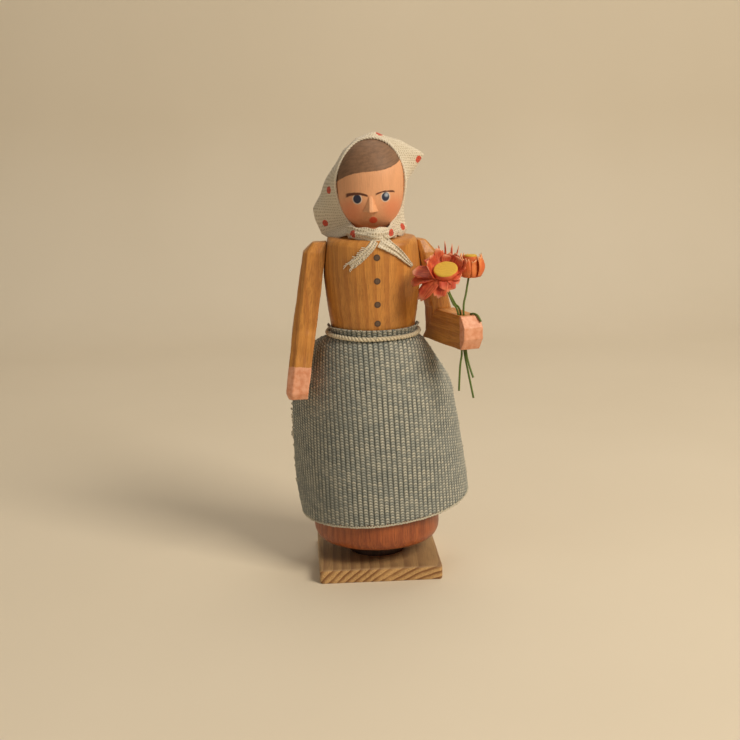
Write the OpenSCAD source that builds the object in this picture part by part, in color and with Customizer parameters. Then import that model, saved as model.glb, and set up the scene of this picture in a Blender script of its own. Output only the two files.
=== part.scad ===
// A turned and carved wooden folk doll: a countrywoman with a headscarf, an apron and a
// bunch of wood-shaving flowers. She stands on a square base.
// +Z is up, the doll faces -Y, and the origin is the middle of the base's underside.

/* [Base] */
// Side of the base, left to right
base_w = 32; // [30:0.5:36]
// Side of the base, front to back
base_d = 32.4; // [30:0.5:36]
// Thickness of the base
base_t = 3.75; // [3.5:0.25:5]
// Radius of the base's upright corners
base_corner_r = 0.8; // [0.4:0.1:1.5]

/* [Skirt] */
// Largest radius of the turned skirt
skirt_r = 16.8; // [16:0.1:17.5]
// Gap between the base and the skirt's underside
skirt_gap = 4.5; // [3.5:0.25:5]
// Radius of the foot that holds the skirt off the base
foot_r = 7.2; // [6:0.1:8]

/* [Torso] */
// Radius at the waist
waist_r = 10.9; // [10.5:0.1:11]
// Radius at the chest
chest_r = 12.6; // [12.2:0.1:12.8]
// Height of the top of the shoulders
shoulder_top = 88; // [87:0.5:89]

/* [Head] */
// Largest radius of the head
head_r = 8.75; // [8.4:0.05:9]
// Height of the head's widest ring
head_mid = 102.8; // [102:0.2:103.4]

/* [Arms] */
// Height at which the arms turn
joint_z = 83; // [82.5:0.25:83.5]
// Distance of the shoulder flats from the middle at that height
joint_x = 12; // [11.8:0.05:12.1]
// Lean of the shoulder flats from upright, in degrees
joint_lean = 8.8; // [8:0.1:9.5]
// Radius of the shoulder dowels
dowel_r = 1.6; // [1.4:0.1:1.8]
// Running clearance of an arm's bore on its dowel
dowel_play = 0.05; // [0.02:0.01:0.09]
// Gap between an arm and its shoulder flat
arm_gap = 0.15; // [0.1:0.05:0.3]
// Turn of the bent arm outwards, in degrees
bent_turn = 19.7; // [18:0.1:21]
// Length of the bent arm from its back to the fingertips
bent_len = 23.3; // [22:0.1:24]
// Width of the bent arm
bent_w = 5.3; // [5:0.1:5.6]
// Height of the bent arm
bent_h = 8.5; // [8:0.1:8.8]

/* [Cloth and cord] */
// Thickness of the apron cloth
apron_t = 1; // [0.6:0.1:1.2]
// Radius of the waist cord
cord_r = 0.65; // [0.5:0.05:0.8]
// Height of the waist cord
cord_z = 63.4; // [63:0.1:63.8]
// Thickness of the headscarf round the head
scarf_t = 0.8; // [0.6:0.1:1]

/* [Bouquet] */
// Radius of the large flower's wooden middle
core_r = 3; // [2.6:0.1:3.2]
// Reach of the large flower's petals
petal_reach = 6.8; // [6:0.1:7.2]
// Radius of the stem wires
wire_r = 0.25; // [0.2:0.05:0.35]

/* [Hidden] */
$fn = 64;
eps = 0.01;

honey = "#b8741f";
russet = "#8c3b1c";
pale_wood = "#b08a52";
flesh = "#e09a68";
cream = "#e6dcc0";
grey_cloth = "#7f8f92";
petal_red = "#cf4a2c";
petal_orange = "#e2672f";
core_yellow = "#d9a52c";
leaf_green = "#4f6b26";

skirt_low = base_t + skirt_gap;
skirt_wide_z = skirt_low + 3.2;
skirt_top = 62.5;
foot_socket = 10;
foot_tenon = 2;
waist_dowel_r = 3;
waist_dowel_len = 12;
neck_dowel_r = 1.5;
neck_dowel_len = 13;

head_up = 9.9;
head_down = 13.5;
// How square the head's lower half is; 2 would be a plain ellipse
chin_power = 2.3;
neck_r = 4.4;
scarf_play = 0.15;
nose_w = 3.3;
nose_h = 3.9;
nose_tip = 2.2;
nose_z = head_mid - 8;
tenon_w = 1;
tenon_back = 4.6;

// Elbow: the middle of the bent arm's back end
elbow = [15.95, 3.95, 65];
upper_depth = 7.4;
half_h = bent_h / 2;
mitre_heel = 0.5;
mitre = atan((bent_h - mitre_heel) / upper_depth);
elbow_dowel_r = 1.2;
elbow_dowel_len = 7;
elbow_clear = 13.3;
shoulder_dowel_in = 5.5;
shoulder_dowel_out = 3.4;

// Grip hole for the stems, placed along and across the bent arm
grip_at = 18.8;
grip_side = -0.8;
grip_lean = 5.5;
grip_r = 1;

large_core = [17.1, -16.5, 80.6];
large_tip = [30, -10, 0];
small_core = [23.9, -12, 84];
core_t = 1.7;
small_core_r = 1.6;
small_core_h = 5.6;

// Routes of the wires, from the flower down to the cut end
large_route_a = [[17.1, -16.2, 78.9], [17.6, -15.9, 76], [19, -15, 72.5], [20.4, -14.3, 69.8],
                 [21.4, -13.9, 60.5], [20.9, -14.3, 56], [20.5, -15, 50]];
large_route_b = [[17.4, -15.6, 79.2], [18, -15.2, 75.6], [19.6, -14.5, 72.3], [21.1, -13.6, 69.8],
                 [22, -13.4, 60.5], [22.9, -14.1, 55], [24.2, -15, 48]];
small_route = [[23.4, -12.3, 78.3], [22.6, -13.2, 74.5], [21.8, -14.3, 70.5], [22.4, -14.2, 60.5],
               [23.1, -15, 56.5], [24, -16, 53.5]];
leaf_route = [[23.5, -14.3, 69.5], [24.3, -15.2, 69.6], [25.1, -16.1, 69.2], [25.8, -16.9, 67.9]];
tie_end_a = [[0.7, 12.9, 61.9], [1.3, 13.4, 60], [2.2, 13.8, 57.5], [3, 14.3, 54.5]];
tie_end_b = [[-0.7, 12.9, 61.9], [-1.7, 13.3, 60.3], [-3, 13.7, 58.5], [-4.4, 14, 56]];

// Apron: how far round it reaches, and its outlines as [height, inner radius]
apron_reach = 104;
apron_hem = 15.9;
apron_hem_rise = 2.3;
apron_top = 65.2;
apron_waist = waist_r + 0.15;
cord_ring_r = apron_waist + 0.22 + cord_r;
knot_r = 1.1;
apron_rows = 18;
apron_cols = 26;
apron_right = [[13, 26.1], [18, 26], [36, 23.2], [43, 21.2], [48.5, 19.8], [52.5, 17.4],
               [57, 14.9], [60.5, 12.9], [61.9, 12], [62.7, apron_waist],
               [64.2, apron_waist], [65.2, 11.8]];
apron_left = [[13, 19.8], [18, 20.8], [30, 21.8], [43, 21.9], [50, 20.3], [55, 18.2],
              [60.5, 15.2], [61.9, 13.4], [62.7, apron_waist], [64.2, apron_waist], [65.2, 11.8]];
apron_waist_band = [[61.9, 11.6], [62.7, apron_waist], [64.2, apron_waist], [65.2, 11.5]];

// Plane of the headscarf's front edge, as the front-to-back place at two heights
edge_low = [-7, 89];
edge_high = [-1.5, 113];
opening_z = 100;
opening_wide = 7.6;
opening_tall = 9.6;

// ---------- helpers ----------

function unit(v) = v / norm(v);

// Catmull-Rom curve through a route's points
function bend(p0, p1, p2, p3, t) =
    0.5 * (2 * p1 + (p2 - p0) * t + (2 * p0 - 5 * p1 + 4 * p2 - p3) * t * t
           + (3 * p1 - p0 - 3 * p2 + p3) * t * t * t);
function smooth(route, steps = 4) =
    let (last = len(route) - 1)
    [for (i = [0:last - 1], s = [0:steps - 1])
        bend(route[max(i - 1, 0)], route[i], route[i + 1], route[min(i + 2, last)], s / steps),
     route[last]];

// Round wire or thread swept along a list of points
module tube(points, radius, sides = 8) {
    last = len(points) - 1;
    rings = [for (i = [0:last])
        let (along = unit(points[min(i + 1, last)] - points[max(i - 1, 0)]),
             side = unit(cross(along, [1, 0.2, 0])), other = cross(along, side))
        for (k = [0:sides - 1])
            points[i] + radius * (cos(360 * k / sides) * side + sin(360 * k / sides) * other)];
    walls = [for (i = [0:last - 1], k = [0:sides - 1])
        let (a = i * sides + k, b = i * sides + (k + 1) % sides)
        each [[a, b + sides, b], [a, a + sides, b + sides]]];
    polyhedron(points = rings,
               faces = concat([[for (k = [0:sides - 1]) k]], walls,
                              [[for (k = [sides - 1:-1:0]) last * sides + k]]));
}

// Half-spaces on the body's side and on the arm's side of a shoulder flat; side is 1 at +X
module body_side(side, gap) {
    translate([side * joint_x, 0, joint_z]) rotate([0, side * -joint_lean, 0])
        translate([side > 0 ? gap - 60 : -gap, -40, -60]) cube([60, 80, 120]);
}

module arm_side(side) {
    translate([side * joint_x, 0, joint_z]) rotate([0, side * -joint_lean, 0])
        translate([side > 0 ? 0 : -60, -40, -60]) cube([60, 80, 120]);
}

// A round rod on a shoulder's axis, from a depth inside the body to a reach outside the flat
module shoulder_rod(side, radius, inside, outside) {
    translate([side * joint_x, 0, joint_z]) rotate([0, side * (90 - joint_lean), 0])
        translate([0, 0, -inside]) cylinder(h = inside + outside, r = radius);
}

// Outline of a limb's section: a rectangle with its corners cut off
function section(x0, x1, y_mid, depth, cut) =
    let (y0 = y_mid - depth / 2, y1 = y_mid + depth / 2)
    [[x0 + cut, y0], [x1 - cut, y0], [x1, y0 + cut], [x1, y1 - cut],
     [x1 - cut, y1], [x0 + cut, y1], [x0, y1 - cut], [x0, y0 + cut]];

module slice(z, x0, x1, y_mid, depth, cut) {
    translate([0, 0, z]) linear_extrude(eps) polygon(section(x0, x1, y_mid, depth, cut));
}

// ---------- base and skirt ----------

module base_plate() {
    r = base_corner_r;
    color(pale_wood) difference() {
        union() {
            translate([r - base_w / 2, -base_d / 2, 0]) cube([base_w - 2 * r, base_d, base_t]);
            translate([-base_w / 2, r - base_d / 2, 0]) cube([base_w, base_d - 2 * r, base_t]);
            for (sx = [-1, 1], sy = [-1, 1])
                translate([sx * (base_w / 2 - r), sy * (base_d / 2 - r), 0])
                    cylinder(h = base_t, r = r);
        }
        translate([0, 0, base_t - foot_tenon]) cylinder(h = foot_tenon + 1, r = foot_r);
    }
}

// The round foot, let into the base below and into the skirt above
module foot_dowel() {
    color(pale_wood) translate([0, 0, base_t - foot_tenon])
        cylinder(h = foot_tenon + skirt_gap + foot_socket, r = foot_r);
}

// Radius of the bell at height z, above its widest ring
function bell_r(z) =
    waist_r + 0.1 + (skirt_r - waist_r - 0.1)
        * pow(cos(90 * (z - skirt_wide_z) / (skirt_top - skirt_wide_z)), 0.8);

module skirt_body() {
    lip = skirt_wide_z - skirt_low;
    lip_r = 1.9;
    steps = 16;
    color(russet) difference() {
        rotate_extrude($fn = 96) polygon(concat(
            [[0, skirt_low], [skirt_r - lip_r, skirt_low]],
            [for (a = [-75:15:-15])
                [skirt_r - lip_r + lip_r * cos(a), skirt_wide_z + lip * sin(a)]],
            [for (i = [0:steps - 1])
                let (z = skirt_wide_z + (skirt_top - skirt_wide_z) * i / steps) [bell_r(z), z]],
            [[waist_r + 0.1, skirt_top], [0, skirt_top]]));
        translate([0, 0, skirt_low - 1]) cylinder(h = foot_socket + 1, r = foot_r);
        translate([0, 0, skirt_top - waist_dowel_len / 2])
            cylinder(h = waist_dowel_len, r = waist_dowel_r);
    }
}

// ---------- torso and head ----------

module waist_dowel() {
    color(pale_wood) translate([0, 0, skirt_top - waist_dowel_len / 2])
        cylinder(h = waist_dowel_len, r = waist_dowel_r);
}

// The turned outline of the torso, grown by a margin
module torso_turning(grow) {
    edge = 2;
    top = shoulder_top + grow;
    chest = chest_r + grow;
    rotate_extrude($fn = 96) polygon(concat(
        [[0, skirt_top], [waist_r + grow, skirt_top], [waist_r + grow, cord_z + 1],
         [waist_r + 0.7 + grow, cord_z + 6], [chest - 0.35, cord_z + 12], [chest, cord_z + 16],
         [chest, top - edge]],
        [for (a = [20:20:80]) [chest - edge + edge * cos(a), top - edge + edge * sin(a)]],
        [[chest - edge, top], [0, top]]));
}

module torso() {
    color(honey) difference() {
        torso_turning(0);
        for (side = [-1, 1]) {
            arm_side(side);
            shoulder_rod(side, dowel_r, shoulder_dowel_in, 2);
        }
        translate([0, 0, skirt_top - 1]) cylinder(h = waist_dowel_len / 2 + 1, r = waist_dowel_r);
        translate([0, 0, shoulder_top - neck_dowel_len / 2])
            cylinder(h = neck_dowel_len, r = neck_dowel_r);
    }
}

module neck_dowel() {
    color(pale_wood) translate([0, 0, shoulder_top - neck_dowel_len / 2])
        cylinder(h = neck_dowel_len, r = neck_dowel_r);
}

// The turned egg of the head, grown by a margin
module egg(grow) {
    rotate_extrude($fn = 96) polygon(concat(
        [[0, head_mid - head_down - grow]],
        [for (a = [-82.5:7.5:0])
            [(head_r + grow) * pow(cos(a), 2 / chin_power),
             head_mid - (head_down + grow) * pow(-sin(a), 2 / chin_power)]],
        [for (a = [7.5:7.5:82.5])
            [(head_r + grow) * cos(a), head_mid + (head_up + grow) * sin(a)]],
        [[0, head_mid + head_up + grow]]));
}

module head() {
    color(flesh) difference() {
        union() {
            egg(0);
            translate([0, 0, shoulder_top]) cylinder(h = 5, r = neck_r);
        }
        translate([0, 0, shoulder_top - 1])
            cylinder(h = neck_dowel_len / 2 + 1, r = neck_dowel_r);
        nose_tenon(head_r + 1);
    }
}

// The block that holds the nose in the face, from its back end to a reach in front of the axis
module nose_tenon(reach) {
    translate([-tenon_w / 2, -reach, nose_z + 0.6])
        cube([tenon_w, reach - tenon_back, nose_h - 1.6]);
}

module nose() {
    low_y = -7.4;
    high_y = -8.65;
    color(flesh) union() {
        difference() {
            hull() {
                translate([-nose_w / 2, low_y, nose_z]) cube([nose_w, 0.1, 0.3]);
                translate([-0.35, low_y - nose_tip, nose_z]) cube([0.7, 0.1, 0.3]);
                translate([-0.3, high_y, nose_z + nose_h - 0.1]) cube([0.6, 1, 0.1]);
            }
            egg(0);
        }
        nose_tenon(8.1);
    }
}

// ---------- arms ----------

module right_shoulder_dowel() {
    color(pale_wood) shoulder_rod(-1, dowel_r, shoulder_dowel_in, shoulder_dowel_out);
}

module left_shoulder_dowel() {
    color(pale_wood) shoulder_rod(1, dowel_r, shoulder_dowel_in, shoulder_dowel_out);
}

// The bore of an arm, a little deeper than its dowel
module arm_bore(side) {
    shoulder_rod(side, dowel_r + dowel_play, 1, shoulder_dowel_out + 0.4);
}

module right_arm() {
    color(honey) difference() {
        union() {
            hull() {
                slice(86.9, -15.1, -9, 0, 4.6, 0.4);
                slice(84.4, -17.7, -9, 0, 7.4, 1.2);
                slice(65, -20.95, -12, -2.4, 7.6, 1.6);
            }
            hull() {
                slice(65, -20.95, -12, -2.4, 7.6, 1.6);
                slice(49.3, -23.05, -15, -7, 7, 1.5);
                slice(47.7, -22.4, -15, -7.2, 5.2, 0.8);
            }
        }
        body_side(-1, arm_gap);
        arm_bore(-1);
    }
}

// Places its children in the bent arm's own frame: X outwards, -Y along it, Z up
module at_elbow() {
    translate(elbow) rotate([0, 0, bent_turn]) children();
}

// Half-space over the mitre that joins the bent arm's two pieces, or under it when turned over
module mitre_side(turn) {
    translate([0, -upper_depth / 2, mitre_heel / 2]) rotate([turn - mitre, 0, 0])
        translate([-20, -20, 0]) cube([40, 40, 40]);
}

module elbow_rod() {
    at_elbow() translate([0, -upper_depth / 2, mitre_heel / 2]) rotate([-mitre, 0, 0])
        translate([0, 0, -elbow_dowel_len / 2]) cylinder(h = elbow_dowel_len, r = elbow_dowel_r);
}

// What the upper part of the bent arm gives up to the body; the elbow stays whole
module bent_relief() {
    intersection() {
        body_side(1, arm_gap);
        translate([0, -40, 0]) cube([elbow_clear, 80, 120]);
    }
}

module left_upper_arm() {
    half_w = bent_w / 2;
    cut = 1.2;
    shoulder = [-3.5, -2.6];
    color(honey) difference() {
        at_elbow() {
            hull() {
                slice(half_h - eps, -half_w, half_w, -upper_depth / 2, upper_depth, cut);
                translate(shoulder)
                    slice(83.8 - elbow[2], -half_w, half_w, 0, upper_depth - 0.2, cut);
                translate(shoulder) slice(87.1 - elbow[2], -half_w, -0.3, 0, 4.4, 0.4);
            }
            difference() {
                translate([0, 0, -half_h]) linear_extrude(bent_h)
                    polygon(section(-half_w, half_w, -upper_depth / 2, upper_depth, cut));
                mitre_side(180);
            }
        }
        bent_relief();
        arm_bore(1);
        elbow_rod();
    }
}

module left_elbow_dowel() {
    color(pale_wood) elbow_rod();
}

module left_forearm() {
    tip = 1.8;
    color(honey) difference() {
        at_elbow() difference() {
            rotate([90, 0, -90]) translate([0, 0, -bent_w / 2]) linear_extrude(bent_w)
                polygon([[0, -half_h], [bent_len - tip, -half_h], [bent_len, -1.4],
                         [bent_len, 1.5], [bent_len - tip, half_h], [0, half_h]]);
            mitre_side(0);
            translate([grip_side, -grip_at, 0]) rotate([0, -grip_lean, 0])
                translate([0, 0, -bent_h]) cylinder(h = 2 * bent_h, r = grip_r);
        }
        elbow_rod();
    }
}

// ---------- headscarf ----------

module bead(place) {
    translate(place) sphere(r = 0.5, $fn = 20);
}

// Everything in front of the headscarf's edge plane, moved forward by a gap
module face_side(gap) {
    lean = atan((edge_high[0] - edge_low[0]) / (edge_high[1] - edge_low[1]));
    translate([0, edge_low[0] - gap, edge_low[1]]) rotate([-lean, 0, 0])
        translate([-40, -40, -40]) cube([80, 40, 100]);
}

// The oval that keeps the cheeks and the chin free
module face_opening() {
    translate([0, 0, opening_z]) rotate([90, 0, 0])
        scale([1, opening_tall / opening_wide, 1]) cylinder(h = 20, r = opening_wide);
}

module headscarf() {
    color(cream) difference() {
        union() {
            egg(scarf_play + scarf_t);
            hull() {
                bead([12.7, 1.5, 108.6]);
                bead([1.6, 0.8, 113.6]);
                bead([8.8, 1, 101]);
                bead([3, 8.5, 107]);
            }
            hull() {
                bead([0, 1, 113.4]);
                bead([-8.8, 1, 105]);
                bead([-14.3, 2, 94.7]);
                bead([-12.4, 2.5, 89.3]);
                bead([-7, 2, 89.3]);
                bead([-5, 9, 101]);
                bead([-1, 9.4, 107]);
            }
            hull() {
                bead([0, 9.8, 106]);
                bead([-8.8, 5.5, 103]);
                bead([8.8, 4.5, 103]);
                bead([-12.4, 5, 90]);
                bead([8.6, 0, 89.3]);
                bead([5.6, -5, 89.6]);
                bead([8.8, 6.5, 89.3]);
                bead([9.2, 0, 98]);
                bead([3, 13, 86]);
                bead([0, 13.8, 84]);
                bead([-3, 13, 86]);
            }
        }
        egg(scarf_play);
        translate([0, 0, shoulder_top]) cylinder(h = 5, r = neck_r + scarf_play);
        face_side(0);
        face_opening();
        torso_turning(scarf_play);
    }
}

module scarf_knot() {
    color(cream) difference() {
        intersection() {
            hull() {
                translate([-5.6, -7.6, 89.6]) sphere(r = 1.1, $fn = 24);
                translate([5.2, -7.6, 89.6]) sphere(r = 1.1, $fn = 24);
                translate([0.5, -10.8, 88.6]) sphere(r = 1.6, $fn = 24);
            }
            face_side(0.1);
        }
        egg(scarf_play);
        torso_turning(scarf_play);
    }
}

// A flat end of the scarf that lies against the chest
module chest_tail(outline) {
    color(cream) intersection() {
        translate([0, 0, 75]) difference() {
            cylinder(h = 20, r = chest_r + 0.65);
            translate([0, 0, -1]) cylinder(h = 22, r = chest_r + 0.15);
        }
        rotate([90, 0, 0]) linear_extrude(20) polygon(outline);
    }
}

module scarf_tail_right() {
    chest_tail([[-1.8, 86.8], [0.8, 86.8], [-1, 85], [-6, 80.7], [-7.8, 81.8], [-4.6, 84.6]]);
}

module scarf_tail_left() {
    chest_tail([[2, 86.8], [4.6, 86.8], [7.4, 84.6], [9.9, 81.4], [9.2, 80.9], [5.6, 84]]);
}

// ---------- apron and waist cord ----------

// Inner radius of the apron at azimuth a from the front, positive towards +X
function apron_r(a, z) =
    let (front = z > 61.9 ? lookup(z, apron_waist_band)
                          : bell_r(max(z, skirt_wide_z)) + 0.4,
         side = lookup(z, a > 0 ? apron_right : apron_left),
         share = abs(a) / apron_reach)
    front + (side - front) * pow(share, a > 0 ? 2 : 4);
function apron_thick(z) = min(apron_t, 0.2 + max(0, 62.6 - z) * 0.5);
// Height of a row at azimuth a: the lowest row is the hem, the highest the frilled top
function apron_z(row, a) =
    let (hem = apron_hem + apron_hem_rise * a / apron_reach,
         levels = [for (i = [0:12]) hem + (59 - hem) * i / 12])
    row < 13 ? levels[row] : [60.5, 61.9, 62.7, 64.2, apron_top][row - 13];

module apron() {
    cols = apron_cols + 1;
    sheet = cols * apron_rows;
    azimuths = [for (c = [0:apron_cols]) apron_reach * (2 * c / apron_cols - 1)];
    skin = [for (grow = [0, 1], row = [0:apron_rows - 1], a = azimuths)
        let (z = apron_z(row, a), r = apron_r(a, z) + grow * apron_thick(z))
        [r * sin(a), -r * cos(a), z]];
    quads = [for (row = [0:apron_rows - 2], c = [0:apron_cols - 1])
        let (a = row * cols + c, b = a + 1, d = a + cols, e = d + 1) [a, b, e, d]];
    last = (apron_rows - 1) * cols;
    rim = concat([for (c = [0:apron_cols]) c],
                 [for (row = [1:apron_rows - 1]) row * cols + apron_cols],
                 [for (c = [apron_cols - 1:-1:0]) last + c],
                 [for (row = [apron_rows - 2:-1:1]) row * cols]);
    color(grey_cloth) polyhedron(points = skin, faces = concat(
        [for (q = quads) each [[q[0], q[1], q[2]], [q[0], q[2], q[3]]]],
        [for (q = quads) each [[q[0] + sheet, q[2] + sheet, q[1] + sheet],
                               [q[0] + sheet, q[3] + sheet, q[2] + sheet]]],
        [for (i = [0:len(rim) - 1])
            let (p = rim[i], n = rim[(i + 1) % len(rim)])
            each [[p, p + sheet, n + sheet], [p, n + sheet, n]]]));
}

module waist_cord() {
    color(cream) translate([0, 0, cord_z]) rotate_extrude($fn = 96) translate([cord_ring_r, 0])
        circle(r = cord_r, $fn = 32);
}

// The knot sits at the back, just outside the ring
module waist_knot() {
    color(cream) translate([0, cord_ring_r + cord_r + knot_r + 0.02, cord_z]) sphere(r = knot_r);
}

module cord_ends() {
    color(cream) for (route = [tie_end_a, tie_end_b]) tube(smooth(route), cord_r - 0.05);
}

// ---------- bouquet ----------

module at_large_flower() {
    translate(large_core) rotate(large_tip) children();
}

module large_flower_core() {
    color(core_yellow) at_large_flower() translate([0, 0, -core_t / 2])
        cylinder(h = core_t, r = core_r);
}

module large_flower_petals() {
    petals = 8;
    under = -core_t / 2;
    t = 0.4;
    color(petal_red) at_large_flower() {
        translate([0, 0, under - t]) cylinder(h = t, r = 2.4);
        for (i = [0:petals - 1]) {
            reach = petal_reach - 0.2 - 1.5 * cos(360 * i / petals);
            rotate([0, 0, 360 * (i - 0.4) / petals]) rotate_extrude(angle = 36)
                polygon([[0.5, under - t], [core_r, under - t - 0.1], [reach - 1.4, under - 0.1],
                         [reach, under + 1.2], [reach - 0.3, under + 1.6],
                         [reach - 1.7, under + 0.3], [core_r, under], [0.5, under]]);
        }
    }
}

module large_flower_stems() {
    color(leaf_green) {
        tube(smooth(large_route_a), wire_r);
        tube(smooth(large_route_b), wire_r);
    }
}

module small_flower_core() {
    color(core_yellow) translate(small_core) translate([0, 0, -small_core_h])
        cylinder(h = small_core_h, r = small_core_r);
}

module small_flower_petals() {
    petals = 7;
    r = small_core_r;
    low = -small_core_h;
    color(petal_orange) translate(small_core) {
        translate([0, 0, low]) difference() {
            cylinder(h = 0.6, r = r + 0.5);
            translate([0, 0, -1]) cylinder(h = 3, r = r);
        }
        for (i = [0:petals - 1])
            rotate([0, 0, 360 * i / petals]) rotate_extrude(angle = 41)
                polygon([[r + 0.2, low + 0.1], [r + 1, low + 0.5], [r + 1.7, low + 2.8],
                         [r + 1.5, low + 5.4], [r + 1.2, low + 5.4], [r + 1.4, low + 2.9],
                         [r + 0.7, low + 0.9], [r + 0.2, low + 0.5]]);
    }
}

module small_flower_stem() {
    color(leaf_green) tube(smooth(small_route), wire_r);
}

module leaf_wire() {
    color(leaf_green) tube(smooth(leaf_route), wire_r);
}

base_plate();
foot_dowel();
skirt_body();
waist_dowel();
torso();
neck_dowel();
head();
nose();
right_shoulder_dowel();
left_shoulder_dowel();
right_arm();
left_upper_arm();
left_elbow_dowel();
left_forearm();
headscarf();
scarf_knot();
scarf_tail_right();
scarf_tail_left();
apron();
waist_cord();
waist_knot();
cord_ends();
large_flower_core();
large_flower_petals();
large_flower_stems();
small_flower_core();
small_flower_petals();
small_flower_stem();
leaf_wire();
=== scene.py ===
import random
from math import copysign, cos, exp, log, pi, radians, sin, sqrt, tan

import bpy
from mathutils import Matrix, Vector, kdtree, noise


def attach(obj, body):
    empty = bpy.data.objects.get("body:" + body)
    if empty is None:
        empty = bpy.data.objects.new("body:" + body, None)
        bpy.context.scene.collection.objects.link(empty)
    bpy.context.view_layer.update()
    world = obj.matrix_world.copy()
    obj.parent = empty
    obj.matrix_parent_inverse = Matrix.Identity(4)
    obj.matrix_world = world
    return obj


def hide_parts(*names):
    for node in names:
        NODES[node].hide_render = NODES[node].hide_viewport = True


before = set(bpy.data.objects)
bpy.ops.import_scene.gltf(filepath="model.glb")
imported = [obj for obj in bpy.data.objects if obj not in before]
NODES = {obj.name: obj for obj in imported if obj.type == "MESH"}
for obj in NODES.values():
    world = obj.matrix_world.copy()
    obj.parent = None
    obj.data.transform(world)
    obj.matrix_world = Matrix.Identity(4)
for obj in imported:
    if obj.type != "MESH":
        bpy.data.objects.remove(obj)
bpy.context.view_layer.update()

MM = 0.001
TURN = 2 * pi
RIGHT_ARM = "right_arm_swing"
LEFT_ARM = "left_arm_swing"


# ---------- camera, floor and light ----------

CAMERA_PLACE = (-18.36, -296.23, 117.5)
CAMERA_LOOKS = (0.0571, 0.9753, -0.2130)
CAMERA_ROLL = -1.13
CAMERA_LENS = 56.04


def place_object(name, data):
    thing = bpy.data.objects.new(name, data)
    bpy.context.collection.objects.link(thing)
    return thing


def make_camera():
    data = bpy.data.cameras.new("camera")
    data.lens = CAMERA_LENS
    data.sensor_width = 36
    data.clip_start = 0.01
    camera = place_object("camera", data)
    turn = Vector(CAMERA_LOOKS).to_track_quat("-Z", "Y").to_matrix().to_4x4()
    roll = Matrix.Rotation(radians(CAMERA_ROLL), 4, "Z")
    camera.matrix_world = Matrix.Translation(Vector(CAMERA_PLACE) * MM) @ turn @ roll
    bpy.context.scene.camera = camera


def make_area_light(name, place, size, power, colour):
    data = bpy.data.lights.new(name, "AREA")
    data.size = size
    data.energy = power
    data.color = colour
    light = place_object(name, data)
    aim = Vector((0, 0, 0.06)) - Vector(place)
    light.matrix_world = Matrix.Translation(place) @ aim.to_track_quat("-Z", "Y").to_matrix().to_4x4()


def make_stage():
    half = 1.5
    rise_from = 0.30
    bend = 0.12
    steps = 12
    outline = [(-half, 0.0), (rise_from, 0.0)]
    for i in range(1, steps + 1):
        a = pi / 2 * i / steps
        outline.append((rise_from + bend * sin(a), bend * (1 - cos(a))))
    outline.append((rise_from + bend, half))
    points = [(x, y, z) for y, z in outline for x in (-half, half)]
    faces = [(2 * i, 2 * i + 1, 2 * i + 3, 2 * i + 2) for i in range(len(outline) - 1)]
    mesh = bpy.data.meshes.new("floor")
    mesh.from_pydata(points, [], faces)
    for polygon in mesh.polygons:
        polygon.use_smooth = True
    floor = place_object("floor", mesh)
    paint = Paint("floor_paint")
    paint.colour = paint.mix(paint.cloud(0.01, 2), (0.68, 0.60, 0.47, 1), (0.74, 0.66, 0.53, 1))
    paint.roughness = 0.75
    mesh.materials.append(paint.done())
    make_area_light("key", (0.42, -0.40, 0.52), 0.30, 4.5, (1.0, 0.89, 0.73))
    make_area_light("fill", (-0.55, -0.45, 0.35), 0.70, 0.35, (1.0, 0.93, 0.84))
    make_area_light("back", (0.10, 0.20, 0.75), 0.40, 1.2, (1.0, 0.95, 0.88))
    world = bpy.data.worlds.new("studio")
    world.use_nodes = True
    world.node_tree.nodes["Background"].inputs["Color"].default_value = (1.0, 0.92, 0.80, 1)
    world.node_tree.nodes["Background"].inputs["Strength"].default_value = 0.20
    bpy.context.scene.world = world
    bpy.context.scene.view_settings.view_transform = "Standard"


# ---------- materials ----------

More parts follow.
